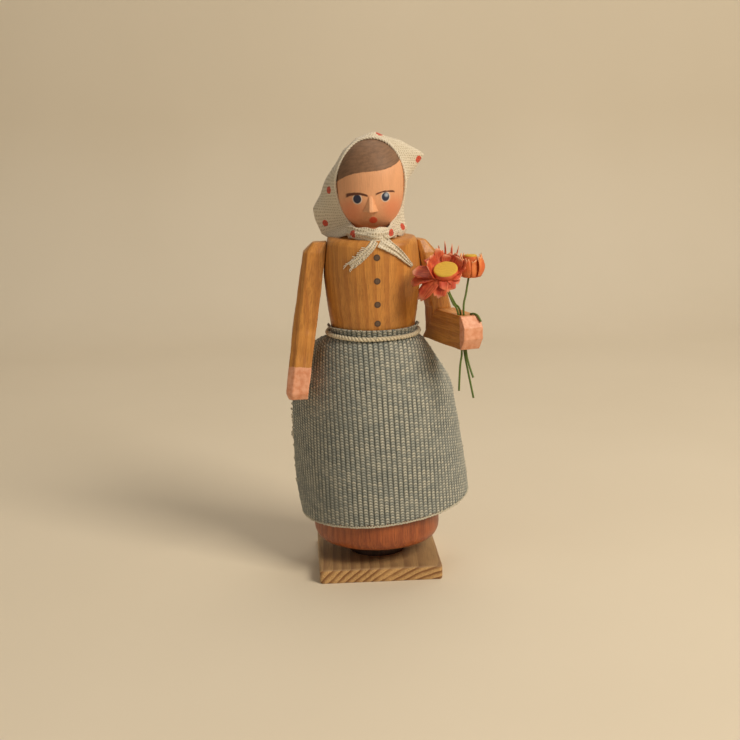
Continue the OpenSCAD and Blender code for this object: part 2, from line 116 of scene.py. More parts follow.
class Paint:
    """One material's node tree. place is the point on the object at rest, in millimetres."""

    def __init__(self, name):
        self.material = bpy.data.materials.new(name)
        self.material.use_nodes = True
        self.tree = self.material.node_tree
        self.shader = self.tree.nodes["Principled BSDF"]
        source = self.tree.nodes.new("ShaderNodeTexCoord")
        self.place = self.vector("SCALE", source.outputs["Object"], scale=1 / MM)
        self.sheet = source.outputs["UV"]
        self.colour = (0.5, 0.5, 0.5, 1)
        self.roughness = 0.5
        self.height = None
        self.coat = 0.0
        self.sheen = 0.0

    def put(self, node, socket, value):
        if isinstance(value, bpy.types.NodeSocket):
            self.tree.links.new(value, node.inputs[socket])
        elif value is not None:
            node.inputs[socket].default_value = value

    def add(self, kind, inputs, operation=None):
        """Adds a node of a kind, with a value or a link for each socket."""
        node = self.tree.nodes.new("ShaderNode" + kind)
        if operation:
            node.operation = operation
        for socket, value in inputs.items():
            self.put(node, socket, value)
        return node

    def math(self, operation, a, b=None, c=None):
        return self.add("Math", {0: a, 1: b, 2: c}, operation).outputs[0]

    def times(self, a, b):
        return self.math("MULTIPLY", a, b)

    def plus(self, a, b):
        return self.math("ADD", a, b)

    def minus(self, a, b):
        return self.math("SUBTRACT", a, b)

    def over(self, a, b):
        return self.math("DIVIDE", a, b)

    def scaled(self, a, factor, start):
        return self.math("MULTIPLY_ADD", a, factor, start)

    def vector(self, operation, a, b=None, scale=None):
        node = self.add("VectorMath", {0: a, 1: b, "Scale": scale}, operation)
        scalar = operation in ("LENGTH", "DISTANCE", "DOT_PRODUCT")
        return node.outputs["Value" if scalar else "Vector"]

    def axis(self, source, letter):
        return self.add("SeparateXYZ", {0: source}).outputs[letter]

    def coordinate(self, letter):
        return self.axis(self.place, letter)

    def join(self, x, y, z):
        return self.add("CombineXYZ", {0: x, 1: y, 2: z}).outputs[0]

    def mix(self, share, a, b):
        node = self.tree.nodes.new("ShaderNodeMix")
        node.data_type = "RGBA"
        self.put(node, 0, share)
        self.put(node, 6, a)
        self.put(node, 7, b)
        return node.outputs[2]

    def cloud(self, scale, detail=3, at=None, rough=0.5):
        at = self.place if at is None else at
        inputs = {"Vector": at, "Scale": scale, "Detail": detail, "Roughness": rough}
        return self.add("TexNoise", inputs).outputs[0]

    def chance(self, at):
        node = self.tree.nodes.new("ShaderNodeTexWhiteNoise")
        node.noise_dimensions = "2D"
        self.put(node, "Vector", at)
        return node.outputs["Value"]

    def fade(self, value, low, high):
        """0 below low and 1 above high, smooth between them; high may be the smaller."""
        inputs = {"Value": value, "From Min": min(low, high), "From Max": max(low, high)}
        node = self.add("MapRange", inputs)
        node.interpolation_type = "SMOOTHSTEP"
        return node.outputs[0] if low <= high else self.minus(1.0, node.outputs[0])

    def layer(self, share, colour, roughness=None, rise=0.0):
        """Lays a coat of paint over what is there, rise millimetres thick."""
        self.colour = self.mix(share, self.colour, colour)
        if roughness is not None:
            step = self.minus(roughness, self.roughness)
            self.roughness = self.scaled(step, share, self.roughness)
        if rise:
            self.raise_by(share, rise)

    def raise_by(self, value, amount):
        part = self.times(value, amount)
        self.height = part if self.height is None else self.plus(self.height, part)

    def done(self):
        self.put(self.shader, "Base Color", self.colour)
        self.put(self.shader, "Roughness", self.roughness)
        self.shader.inputs["Coat Weight"].default_value = self.coat
        self.shader.inputs["Coat Roughness"].default_value = 0.35
        self.shader.inputs["Sheen Weight"].default_value = self.sheen
        self.shader.inputs["Sheen Roughness"].default_value = 0.5
        if self.height is not None:
            bump = self.tree.nodes.new("ShaderNodeBump")
            self.put(bump, "Height", self.height)
            bump.inputs["Strength"].default_value = 1.0
            bump.inputs["Distance"].default_value = MM
            self.put(self.shader, "Normal", bump.outputs[0])
        return self.material


UP = Vector((0, 0, 1))


def shades(red, green, blue, factor=1.0):
    return (red * factor, green * factor, blue * factor, 1)


def start_wood(name, light, dark, pith, ring, along=UP, contrast=1.0, wander=1.2, streaks=1.0):
    """Wood cut from a log whose centre runs along a direction through pith, with rings this far apart."""
    paint = Paint(name)
    along = Vector(along).normalized()
    side = along.cross(Vector((0.3, 1, 0.2))).normalized()
    other = along.cross(side)
    place = paint.vector("SUBTRACT", paint.place, pith)
    a = paint.vector("DOT_PRODUCT", place, tuple(side))
    b = paint.vector("DOT_PRODUCT", place, tuple(other))
    length = paint.vector("DOT_PRODUCT", place, tuple(along))
    slow = paint.join(a, b, paint.times(length, 0.12))
    bend = paint.times(paint.cloud(0.16, 2, at=slow), wander * 4)
    radius = paint.plus(paint.vector("LENGTH", paint.join(a, b, 0.0)), bend)
    phase = paint.math("FRACT", paint.over(radius, ring))
    late = paint.times(paint.fade(phase, 0.25, 0.90), paint.fade(phase, 1.0, 0.93))
    fibre = paint.cloud(3.6, 3, at=paint.join(a, b, paint.times(length, 0.05)), rough=0.6)
    pores = paint.cloud(8.0, 2, at=paint.join(a, b, paint.times(length, 0.06)))
    blotch = paint.cloud(0.11, 2)
    paint.colour = paint.mix(paint.times(late, contrast), light, dark)
    streak = paint.times(paint.fade(fibre, 0.38, 0.72), streaks)
    paint.colour = paint.mix(streak, paint.colour, shades(*dark[:3], 0.75))
    deep = paint.times(paint.fade(pores, 0.60, 0.70), 0.55 * streaks)
    paint.colour = paint.mix(deep, paint.colour, shades(*dark[:3], 0.45))
    paler = paint.times(paint.fade(blotch, 0.45, 0.75), 0.35)
    paint.colour = paint.mix(paler, paint.colour, shades(*light[:3], 1.25))
    paint.roughness = paint.scaled(fibre, 0.22, 0.34)
    paint.raise_by(fibre, 0.05)
    paint.raise_by(late, 0.02 * contrast)
    paint.raise_by(pores, 0.02)
    paint.coat = 0.12
    return paint


def oval(paint, centre, radii, edge=0.12, wobble=0.25, tilt=0.0):
    """Share of an oval painted on the front, centre and radii in the upright plane."""
    x = paint.minus(paint.coordinate("X"), centre[0])
    z = paint.minus(paint.coordinate("Z"), centre[1])
    c, s = cos(radians(tilt)), sin(radians(tilt))
    across = paint.plus(paint.times(x, c), paint.times(z, s))
    upward = paint.minus(paint.times(z, c), paint.times(x, s))
    flat = paint.join(paint.over(across, radii[0]), 0.0, paint.over(upward, radii[1]))
    reach = paint.plus(paint.vector("LENGTH", flat),
                       paint.times(paint.minus(paint.cloud(1.1, 2), 0.5), wobble))
    return paint.times(paint.fade(reach, 1 + edge, 1 - edge), front_only(paint))


def front_only(paint):
    return paint.fade(paint.coordinate("Y"), 0.5, -0.5)


def brow(paint, centre, radius, width, ends, taper):
    """Share of an arched brush stroke: part of a circle's rim, thinner to the right by the taper."""
    x = paint.coordinate("X")
    z = paint.coordinate("Z")
    flat = paint.vector("SUBTRACT", paint.join(x, 0.0, z), (centre[0], 0, centre[1]))
    off = paint.math("ABSOLUTE", paint.minus(paint.vector("LENGTH", flat), radius))
    uneven = paint.times(paint.minus(paint.cloud(0.9, 2), 0.5), 0.35)
    slope = taper / (ends[1] - ends[0])
    thinner = paint.scaled(x, slope, 1 - slope * ends[0])
    line = paint.fade(paint.times(paint.plus(off, uneven), thinner), width, width * 0.4)
    inside = paint.times(paint.fade(x, ends[0] - 0.3, ends[0] + 0.3),
                        paint.fade(x, ends[1] + 0.3, ends[1] - 0.3))
    above = paint.fade(z, centre[1], centre[1] + 1)
    return paint.times(paint.times(line, inside),
                      paint.times(above, front_only(paint)))


HONEY_LIGHT = (0.61, 0.262, 0.050, 1)
HONEY_DARK = (0.42, 0.145, 0.022, 1)
FLESH = (0.80, 0.400, 0.205, 1)
HAND_PINK = (0.80, 0.385, 0.230, 1)


def base_wood():
    paint = start_wood("base_wood", (0.66, 0.40, 0.160, 1), (0.22, 0.085, 0.022, 1),
                       (26, 0, -36), 1.55, along=(0.03, 1, 0), wander=0.3, streaks=0.7)
    # Painted shade: the top face is painted darker and greyer than the sides, for the shade over it.
    painted_shade_blend = paint.mix(0.66, paint.colour, (0.27, 0.165, 0.080, 1))
    paint.layer(paint.fade(paint.coordinate("Z"), 3.2, 3.65), painted_shade_blend, 0.62)
    return paint.done()


def bare_wood():
    return start_wood("bare_wood", (0.62, 0.44, 0.24, 1), (0.42, 0.27, 0.12, 1), (9, 4, 0), 1.4).done()


def foot_shade_wood():
    # Painted shade: the foot is painted near-black for the shadow in the gap under the skirt.
    shade_brown, shade_dark_brown = (0.080, 0.036, 0.018, 1), (0.045, 0.020, 0.010, 1)
    return start_wood("foot_shade_wood", shade_brown, shade_dark_brown, (9, 4, 0), 1.4).done()


def skirt_wood():
    paint = start_wood("skirt_wood", (0.39, 0.100, 0.024, 1), (0.25, 0.052, 0.012, 1),
                       (-26, 8, 0), 1.9, contrast=0.8)
    turning = paint.cloud(2.4, 2, at=paint.join(0.0, 0.0, paint.coordinate("Z")))
    paint.raise_by(turning, 0.03)
    paint.coat = 0.25
    return paint.done()


BUTTONS_X = 0.5
BUTTONS = (83.9, 78.0, 72.0, 67.1)


def torso_wood():
    paint = start_wood("torso_wood", HONEY_LIGHT, HONEY_DARK, (-24, 10, 0), 2.2, contrast=0.75, streaks=0.6)
    turning = paint.cloud(2.0, 2, at=paint.join(0.0, 0.0, paint.coordinate("Z")))
    paint.raise_by(turning, 0.02)
    for z in BUTTONS:
        centre = (BUTTONS_X, z)
        paint.layer(oval(paint, centre, (0.84, 0.84), wobble=0.15), (0.070, 0.036, 0.020, 1), 0.45, 0.04)
        paint.layer(oval(paint, centre, (0.52, 0.52), 0.3), (0.115, 0.068, 0.042, 1), 0.4, 0.03)
    return paint.done()


def arm_wood(name, pith, along, hand):
    """An arm's wood; hand is a function that gives the share of pink paint."""
    paint = start_wood(name, HONEY_LIGHT, HONEY_DARK, pith, 1.9, along=along, contrast=0.7, streaks=0.65)
    skin = paint.mix(paint.fade(paint.cloud(0.8, 3), 0.35, 0.7), HAND_PINK, (0.68, 0.265, 0.13, 1))
    paint.layer(hand(paint), skin, 0.5, 0.06)
    return paint.done()


def brush_edge(paint, along, place, soft=0.18):
    """1 past a place along a direction, with the wavering edge of a dip into paint."""
    waver = paint.times(paint.minus(paint.cloud(0.55, 2), 0.5), 1.1)
    run = paint.plus(paint.vector("DOT_PRODUCT", paint.place, tuple(along)), waver)
    return paint.fade(run, place - soft, place + soft)


def skin_paint(name):
    paint = start_wood(name, FLESH, shades(*FLESH[:3], 0.82), (-20, 9, 0), 1.7, contrast=0.2, streaks=0.25)
    paint.raise_by(paint.cloud(1.6, 3), 0.05)
    paint.roughness = paint.scaled(paint.cloud(2.5, 3), 0.25, 0.42)
    paint.coat = 0.03
    return paint


HAIR = (0.235, 0.125, 0.066, 1)
EYE_BLUE = (0.012, 0.018, 0.055, 1)
BROW_BROWN = (0.11, 0.030, 0.010, 1)
LIP_RED = (0.74, 0.115, 0.050, 1)


def face_paint():
    paint = skin_paint("face_paint")
    rosy = (0.74, 0.235, 0.105, 1)
    for cheek in ((-5.2, 94.8), (5.4, 95.4)):
        paint.layer(paint.times(oval(paint, cheek, (2.9, 2.9), 0.8, 0.2), 0.75), rosy)
    for centre, tilt in (((-3.8, 98.05), 4), ((3.26, 98.5), -3)):
        paint.layer(oval(paint, centre, (1.17, 1.30), 0.14, 0.10, tilt), (0.78, 0.66, 0.56, 1), 0.4, 0.03)
        paint.layer(oval(paint, centre, (0.98, 1.12), 0.12, 0.08, tilt), EYE_BLUE, 0.35, 0.05)
    # Painted highlight: a pale blue-grey spot on the right eye stands for a reflection.
    painted_eye_highlight = paint.times(oval(paint, (3.5, 98.95), (0.46, 0.46), 0.7, 0.0), 0.8)
    paint.layer(painted_eye_highlight, (0.48, 0.55, 0.66, 1), 0.3)
    paint.layer(brow(paint, (-3.9, 92.45), 6.90, 0.66, (-6.5, -1.2), 0.9), BROW_BROWN, 0.5, 0.03)
    paint.layer(brow(paint, (3.9, 92.55), 7.30, 0.27, (0.8, 5.6), 0.0), BROW_BROWN, 0.5, 0.03)
    paint.layer(oval(paint, (0.2, 92.65), (1.05, 0.85), 0.15, 0.3), LIP_RED, 0.42, 0.05)
    # The hair line sweeps from low on the left to high on the right
    x = paint.coordinate("X")
    cubic = paint.scaled(paint.scaled(x, 0.00404, 0.0064), x, 0.07)
    line = paint.scaled(cubic, x, 104.78)
    over = paint.minus(paint.coordinate("Z"), line)
    over = paint.plus(over, paint.times(paint.cloud(1.2, 2), 0.3))
    behind = paint.fade(paint.coordinate("Y"), 3.0, 3.6)
    strands = paint.cloud(1.5, 3, at=paint.join(paint.times(x, 0.35), 0.0,
                                               paint.times(over, 1.2)))
    hair = paint.mix(paint.fade(strands, 0.35, 0.7), HAIR, shades(*HAIR[:3], 0.72))
    paint.layer(paint.math("MAXIMUM", paint.fade(over, 0.08, 0.28), behind), hair, 0.66, 0.06)
    return paint.done()


def gauze(name, dots=(), thread=0.6):
    """Loose cotton gauze. The sheet coordinates are in millimetres; dots are centres of red spots."""
    paint = Paint(name)
    u = paint.over(paint.axis(paint.sheet, "X"), thread)
    v = paint.over(paint.axis(paint.sheet, "Y"), thread)
    weave = None
    for run, other in ((u, v), (v, u)):
        stray = paint.times(paint.cloud(0.7, 2, at=paint.join(other, run, 3.0)), 0.8)
        angle = paint.times(paint.plus(run, stray), pi)
        wave = paint.math("ABSOLUTE", paint.math("SINE", angle))
        weave = wave if weave is None else paint.math("MAXIMUM", weave, wave)
    holes = paint.fade(weave, 0.80, 0.50)
    fuzz = paint.cloud(2.2, 3)
    thread_colour = paint.mix(fuzz, (0.80, 0.72, 0.58, 1), (0.62, 0.54, 0.40, 1))
    paint.colour = paint.mix(paint.times(holes, 0.75), thread_colour, (0.36, 0.27, 0.15, 1))
    for dot in dots:
        reach = paint.vector("DISTANCE", paint.place, tuple(dot))
        reach = paint.plus(reach, paint.times(paint.cloud(1.4, 1), 0.35))
        red = paint.mix(holes, (0.62, 0.080, 0.034, 1), (0.36, 0.032, 0.016, 1))
        paint.layer(paint.fade(reach, 1.22, 1.05), red)
    paint.roughness = 0.85
    paint.raise_by(weave, 0.10)
    paint.raise_by(fuzz, 0.08)
    paint.sheen = 0.25
    return paint.done()


RIB = 1.35
STITCH = 0.72


def apron_cloth():
    """Ribbed weave: cream and blue-grey stitches along each rib, with painted shade between the stitches
    and in the valleys between ribs.

    Sheet coordinates count ribs and stitches.
    """
    paint = Paint("apron_cloth")
    rib = paint.axis(paint.sheet, "X")
    stitch = paint.axis(paint.sheet, "Y")
    off = paint.math("ABSOLUTE", paint.minus(paint.math("FRACT", rib), 0.5))
    number = paint.math("FLOOR", rib)
    lift = paint.scaled(off, 0.9, paint.times(number, 0.37))
    run = paint.plus(stitch, lift)
    step = paint.math("FRACT", run)
    mound = paint.math("SINE", paint.times(step, pi))
    valley = paint.fade(off, 0.30, 0.47)
    key = paint.join(number, paint.math("FLOOR", run), 0.0)
    pick = paint.chance(key)
    drift = paint.cloud(0.09, 2)
    lean = paint.plus(pick, paint.times(paint.minus(drift, 0.5), 1.1))
    body = paint.mix(paint.fade(lean, 0.25, 0.80), (0.260, 0.275, 0.250, 1), (0.39, 0.385, 0.325, 1))
    middle = paint.times(paint.fade(mound, 0.55, 0.95), paint.fade(off, 0.27, 0.08))
    cream = paint.times(middle, paint.scaled(paint.fade(lean, 0.2, 0.9), 0.40, 0.35))
    body = paint.mix(cream, body, (0.70, 0.66, 0.54, 1))
    fibre = paint.cloud(5.0, 3)
    fuzz = paint.times(paint.fade(fibre, 0.45, 0.75), 0.6)
    body = paint.mix(fuzz, body, (0.28, 0.325, 0.315, 1))
    # Painted shade: the gaps between stitches are painted near-black.
    gap = paint.times(paint.fade(mound, 0.45, 0.10), 0.75)
    body = paint.mix(gap, body, (0.090, 0.100, 0.082, 1))
    # Painted shade: the valleys between ribs are painted near-black, weaker in random patches.
    painted_shade_blend = paint.fade(paint.cloud(0.13, 3), 0.40, 0.65)
    deep = paint.times(valley, paint.scaled(painted_shade_blend, -0.45, 0.88))
    paint.colour = paint.mix(deep, body, (0.070, 0.080, 0.066, 1))
    paint.roughness = 0.9
    paint.raise_by(mound, 0.16)
    paint.raise_by(valley, -0.15)
    paint.raise_by(fibre, 0.06)
    paint.sheen = 0.15
    return paint.done()


def yarn(name, light, dark):
    paint = Paint(name)
    fuzz = paint.cloud(4.0, 4)
    slow = paint.cloud(0.4, 2)
    paint.colour = paint.mix(paint.fade(fuzz, 0.3, 0.7), dark, light)
    paint.colour = paint.mix(paint.times(slow, 0.5), paint.colour, shades(*dark[:3], 0.8))
    paint.roughness = 0.88
    paint.raise_by(fuzz, 0.10)
    paint.sheen = 0.2
    return paint.done()


def shaving(name, deep, bright, pale):
    """Dyed wood shaving. Sheet coordinates run across and along the strip, from 0 to 1."""
    paint = Paint(name)
    across = paint.axis(paint.sheet, "X")
    along = paint.axis(paint.sheet, "Y")
    grain = paint.cloud(1.0, 3, at=paint.join(paint.times(across, 9.0), along, 0.0))
    uneven = paint.cloud(0.45, 3)
    paint.colour = paint.mix(paint.fade(uneven, 0.35, 0.65), deep, bright)
    paint.colour = paint.mix(paint.times(paint.fade(grain, 0.45, 0.7), 0.6), paint.colour,
                             shades(*deep[:3], 0.55))
    tip = paint.fade(paint.plus(along, paint.times(grain, 0.3)), 0.98, 1.18)
    paint.layer(tip, pale)
    paint.roughness = paint.scaled(grain, 0.2, 0.5)
    paint.raise_by(grain, 0.06)
    return paint.done()


def core_top():
    paint = start_wood("core_top", (0.68, 0.42, 0.040, 1), (0.56, 0.31, 0.024, 1), (21, -9, 81), 0.7,
                       contrast=0.4, streaks=0.25)
    paint.roughness = 0.7
    paint.coat = 0.0
    return paint.done()


def wire_paint():
    paint = Paint("wire_paint")
    wear = paint.cloud(1.3, 3)
    paint.colour = paint.mix(wear, (0.050, 0.105, 0.014, 1), (0.15, 0.21, 0.035, 1))
    wrap = paint.cloud(3.0, 2, at=paint.join(0.0, 0.0, paint.coordinate("Z")))
    paint.raise_by(wrap, 0.05)
    paint.roughness = 0.45
    return paint.done()


# ---------- mesh helpers ----------

def add_piece(name, points, faces, material, body, sheet=None, node=None):
    """A mesh piece from points in millimetres, in place of a CAD node if one is given.

    sheet gives each point's place on the cloth.
    """
    mesh = bpy.data.meshes.new(name)
    mesh.from_pydata([Vector(p) * MM for p in points], [], faces)
    if sheet is not None:
        layer = mesh.uv_layers.new(name="sheet")
        for loop in mesh.loops:
            layer.data[loop.index].uv = sheet[loop.vertex_index]
    for polygon in mesh.polygons:
        polygon.use_smooth = True
    mesh.materials.append(material)
    mesh.update()
    piece = place_object(name, mesh)
    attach(piece, body)
    if node:
        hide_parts(node)
    return piece


class Parts:
    """Collects several shapes into one mesh."""

    def __init__(self):
        self.points = []
        self.faces = []
        self.sheet = []

    def add(self, points, faces, sheet=None):
        base = len(self.points)
        self.points += [Vector(p) for p in points]
        self.faces += [tuple(i + base for i in face) for face in faces]
        self.sheet += list(sheet) if sheet is not None else [(0.0, 0.0)] * len(points)


def smooth_at(table, z):
    """Smooth curve through a table of (height, value), held level past its ends."""
    if z <= table[0][0]:
        return table[0][1]
    if z >= table[-1][0]:
        return table[-1][1]
    i = max(k for k in range(len(table) - 1) if table[k][0] <= z)
    (z0, v0), (z1, v1) = table[i], table[i + 1]
    slope = (v1 - v0) / (z1 - z0)

    def tangent(k):
        if k in (0, len(table) - 1):
            return slope
        before = (table[k][1] - table[k - 1][1]) / (table[k][0] - table[k - 1][0])
        after = (table[k + 1][1] - table[k][1]) / (table[k + 1][0] - table[k][0])
        return 0.0 if before * after < 0 else (before + after) / 2

    t = (z - z0) / (z1 - z0)
    gap = z1 - z0
    return ((2 * t ** 3 - 3 * t ** 2 + 1) * v0 + (t ** 3 - 2 * t ** 2 + t) * gap * tangent(i)
            + (3 * t ** 2 - 2 * t ** 3) * v1 + (t ** 3 - t ** 2) * gap * tangent(i + 1))


def curve_through(points, steps):
    """Catmull-Rom curve through points, steps to a span."""
    points = [Vector(p) for p in points]
    last = len(points) - 1
    out = []
    for i in range(last):
        p0, p1, p2, p3 = points[max(i - 1, 0)], points[i], points[i + 1], points[min(i + 2, last)]
        for s in range(steps):
            t = s / steps
            out.append(0.5 * (2 * p1 + (p2 - p0) * t + (2 * p0 - 5 * p1 + 4 * p2 - p3) * t * t
                              + (3 * p1 - p0 - 3 * p2 + p3) * t ** 3))
    out.append(points[last])
    return out


def frames_along(path, closed=False):
    """(point, direction, side, other) along a path, turning as little as possible."""
    count = len(path)
    out = []
    side = None
    for i, point in enumerate(path):
        if closed:
            ahead = path[(i + 1) % count] - path[i - 1]
        else:
            ahead = path[min(i + 1, count - 1)] - path[max(i - 1, 0)]
        ahead = ahead.normalized()
        if side is None:
            start = UP if abs(ahead.z) < 0.9 else Vector((1, 0, 0))
            side = ahead.cross(start).normalized()
        side = (side - side.dot(ahead) * ahead).normalized()
        out.append((point, ahead, side, ahead.cross(side)))
    return out


def tube(path, radius, sides=8, closed=False):
    """A round tube along a path; radius is a number or a function of the share along it."""
    rings = frames_along(path, closed)
    count = len(rings)
    points = []
    for i, (point, _, side, other) in enumerate(rings):
        r = radius(i / (count - 1)) if callable(radius) else radius
        for k in range(sides):
            a = TURN * k / sides
            points.append(point + r * (cos(a) * side + sin(a) * other))
    faces = []
    for i in range(count if closed else count - 1):
        j = (i + 1) % count
        for k in range(sides):
            n = (k + 1) % sides
            faces.append((i * sides + k, i * sides + n, j * sides + n, j * sides + k))
    if not closed:
        faces.append(tuple(range(sides - 1, -1, -1)))
        faces.append(tuple((count - 1) * sides + k for k in range(sides)))
    return points, faces


def plies(path, radius, pitch, closed=False):
    """The strands of a twisted cord as paths."""
    rings = frames_along(path, closed)
    run = [0.0]
    for a, b in zip(path, path[1:]):
        run.append(run[-1] + (b - a).length)
    total = run[-1] + ((path[0] - path[-1]).length if closed else 0)
    turns = max(1, round(total / pitch)) if closed else total / pitch
    count = 2
    out = []
    for ply in range(count):
        strand = []
        for (point, _, side, other), s in zip(rings, run):
            a = TURN * (turns * s / total + ply / count)
            strand.append(point + radius * (cos(a) * side + sin(a) * other))
        out.append(strand)
    return out


def add_cord(parts, path, offset, pitch, radius, sides, closed=False):
    """Adds the twisted strands of a cord."""
    for strand in plies(path, offset, pitch, closed):
        parts.add(*tube(strand, radius, sides, closed))


def lathe(profile, sides):
    """Turns (radius, height) points about the upright axis; the ends close on the axis."""
    points = [Vector((0, 0, profile[0][1]))]
    for r, z in profile[1:-1]:
        for k in range(sides):
            a = TURN * k / sides
            points.append(Vector((r * sin(a), -r * cos(a), z)))
    points.append(Vector((0, 0, profile[-1][1])))
    rows = len(profile) - 2
    faces = []
    for k in range(sides):
        n = (k + 1) % sides
        faces.append((0, 1 + n, 1 + k))
        top = 1 + (rows - 1) * sides
        faces.append((len(points) - 1, top + k, top + n))
        for row in range(rows - 1):
            low, high = 1 + row * sides, 1 + (row + 1) * sides
            faces.append((low + k, low + n, high + n, high + k))
    return points, faces


def grid_faces(rows, cols):
    return [(r * cols + c, r * cols + c + 1, (r + 1) * cols + c + 1, (r + 1) * cols + c)
            for r in range(rows - 1) for c in range(cols - 1)]


def point_normals(points, faces):
    normals = [Vector((0, 0, 0)) for _ in points]
    for face in faces:
        a, b, c = points[face[0]], points[face[1]], points[face[2]]
        n = (b - a).cross(c - a)
        if len(face) == 4:
            n += (c - a).cross(points[face[3]] - a)
        for i in face:
            normals[i] += n
    return [n.normalized() if n.length > 0 else UP for n in normals]


def thicken(points, faces, thickness):
    """Gives a sheet a back and walls round its edge."""
    back = [p - n * thickness for p, n in zip(points, point_normals(points, faces))]
    count = len(points)
    edges = {}
    for face in faces:
        for a, b in zip(face, face[1:] + face[:1]):
            edges[(a, b)] = edges.get((a, b), 0) + 1
    rim = [(a, b) for (a, b) in edges if (b, a) not in edges]
    out = list(faces) + [tuple(i + count for i in reversed(face)) for face in faces]
    out += [(b, a, a + count, b + count) for a, b in rim]
    return list(points) + list(back), out


def add_shaving(parts, turn, rows, cols, thickness, shape):
    """Adds a strip that leaves the upright axis in the direction turn.

    shape takes the share of the rows, the column and the share across, from -1 to 1. It gives the
    distance out, the distance across, the height and the share along.
    """
    c, s = cos(turn), sin(turn)
    points, sheet = [], []
    for row in range(rows):
        for k in range(cols):
            w = 2 * k / (cols - 1) - 1
            r, x, h, t = shape(row / (rows - 1), k, w)
            points.append(Vector((r * c - x * s, r * s + x * c, h)))
            sheet.append(((w + 1) / 2, t))
    shell, walls = thicken(points, grid_faces(rows, cols), thickness)
    parts.add(shell, walls, sheet + sheet)


def drop_loose(points, faces, sheet):
    """Leaves out the points that no face uses."""
    used = sorted({i for face in faces for i in face})
    new = {old: i for i, old in enumerate(used)}
    return ([points[i] for i in used], [tuple(new[i] for i in face) for face in faces],
            [sheet[i] for i in used])


def softened(node, name, voxel, relax, material, body, carve=0.0, seed=0.0):
    """A copy of a CAD node with its edges eased and its faces slightly uneven, as a knife leaves them."""
    piece = place_object(name, NODES[node].data.copy())
    remesh = piece.modifiers.new("remesh", "REMESH")
    remesh.mode = "VOXEL"
    remesh.voxel_size = voxel * MM
    smooth = piece.modifiers.new("smooth", "SMOOTH")
    smooth.factor = 0.5
    smooth.iterations = relax
    graph = bpy.context.evaluated_depsgraph_get()
    mesh = bpy.data.meshes.new_from_object(piece.evaluated_get(graph))
    piece.modifiers.clear()
    piece.data = mesh
    normals = [v.normal.copy() for v in mesh.vertices]
    for vertex, normal in zip(mesh.vertices, normals):
        place = vertex.co / MM + Vector((seed, seed, seed))
        cut = noise.noise(place * 0.22) * carve + noise.noise(place * 0.7) * carve * 0.35
        vertex.co += normal * cut * MM
    for polygon in mesh.polygons:
        polygon.use_smooth = True
    mesh.materials.clear()
    mesh.materials.append(material)
    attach(piece, body)
    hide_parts(node)
    return piece


# ---------- base, skirt and torso ----------

def make_base():
    softened("base_plate", "base_board", 0.35, 3, base_wood(), "root", 0.05, 3)


SKIRT_LOW, SKIRT_WIDE_Z, SKIRT_TOP = 8.25, 11.45, 62.5
SKIRT_R, WAIST_R = 16.8, 10.9


def bell_r(z):
    """Radius of the skirt over its widest ring."""
    share = (z - SKIRT_WIDE_Z) / (SKIRT_TOP - SKIRT_WIDE_Z)
    return WAIST_R + 0.1 + (SKIRT_R - WAIST_R - 0.1) * max(0.0, cos(pi / 2 * share)) ** 0.8


def make_skirt():
    lip_r = 1.9
    lip_h = SKIRT_WIDE_Z - SKIRT_LOW
    profile = [(0, SKIRT_LOW), (6, SKIRT_LOW), (11, SKIRT_LOW), (SKIRT_R - lip_r - 0.2, SKIRT_LOW)]
    profile += [(SKIRT_R - lip_r + lip_r * cos(a), SKIRT_WIDE_Z + lip_h * sin(a))
                for a in [radians(d) for d in range(-85, 0, 8)]]
    rows = 60
    profile += [(bell_r(z), z) for z in
                [SKIRT_WIDE_Z + (SKIRT_TOP - 0.05 - SKIRT_WIDE_Z) * i / rows for i in range(rows + 1)]]
    profile += [(WAIST_R - 1, SKIRT_TOP), (0, SKIRT_TOP)]
    points, faces = lathe(profile, 160)
    for p in points:
        p.xy = p.xy * (1 + 0.0015 * sin(p.z * 5.1) + 0.004 * noise.noise(p * 0.12))
    add_piece("skirt_turning", points, faces, skirt_wood(), "root", node="skirt_body")


TORSO_OUTLINE = [(62.5, 10.9), (64.4, 10.9), (69.4, 11.6), (75.4, 12.25), (79.4, 12.6), (86, 12.6)]
TORSO_TOP = 88
TORSO_EDGE = 2.0
TORSO_R = 12.6
FLAT_X, FLAT_Z, FLAT_LEAN = 12.0, 83.0, tan(radians(8.8))


def make_torso():
    rows = 70
    profile = [(0, SKIRT_TOP)]
    profile += [(smooth_at(TORSO_OUTLINE, z), z) for z in
                [SKIRT_TOP + 0.02 + (TORSO_TOP - TORSO_EDGE - SKIRT_TOP) * i / rows
                 for i in range(rows + 1)]]
    profile += [(TORSO_R - TORSO_EDGE + TORSO_EDGE * cos(a),
                 TORSO_TOP - TORSO_EDGE + TORSO_EDGE * sin(a))
                for a in [radians(d) for d in range(8, 90, 8)]]
    profile += [(r, TORSO_TOP + 0.02) for r in (9.5, 7, 4)] + [(0, TORSO_TOP)]
    points, faces = lathe(profile, 240)
    for p in points:
        p.xy = p.xy * (1 + 0.0012 * sin(p.z * 4.3))
        limit = FLAT_X + (FLAT_Z - p.z) * FLAT_LEAN - 0.02
        blend_width = 0.12
        over = (abs(p.x) - limit) / blend_width
        if over > -4:
            eased = limit - blend_width * log(1 + exp(min(40, -over)))
            p.x = copysign(eased, p.x)
    add_piece("torso_turning", points, faces, torso_wood(), "root", node="torso")


# ---------- head ----------

HEAD_R, HEAD_MID, HEAD_UP, HEAD_DOWN = 8.75, 102.8, 9.9, 13.5
CHIN_POWER = 2.3
NECK_R = 4.4
NOSE_WIDER, NOSE_OFF_CENTRE = 1.2, -0.5


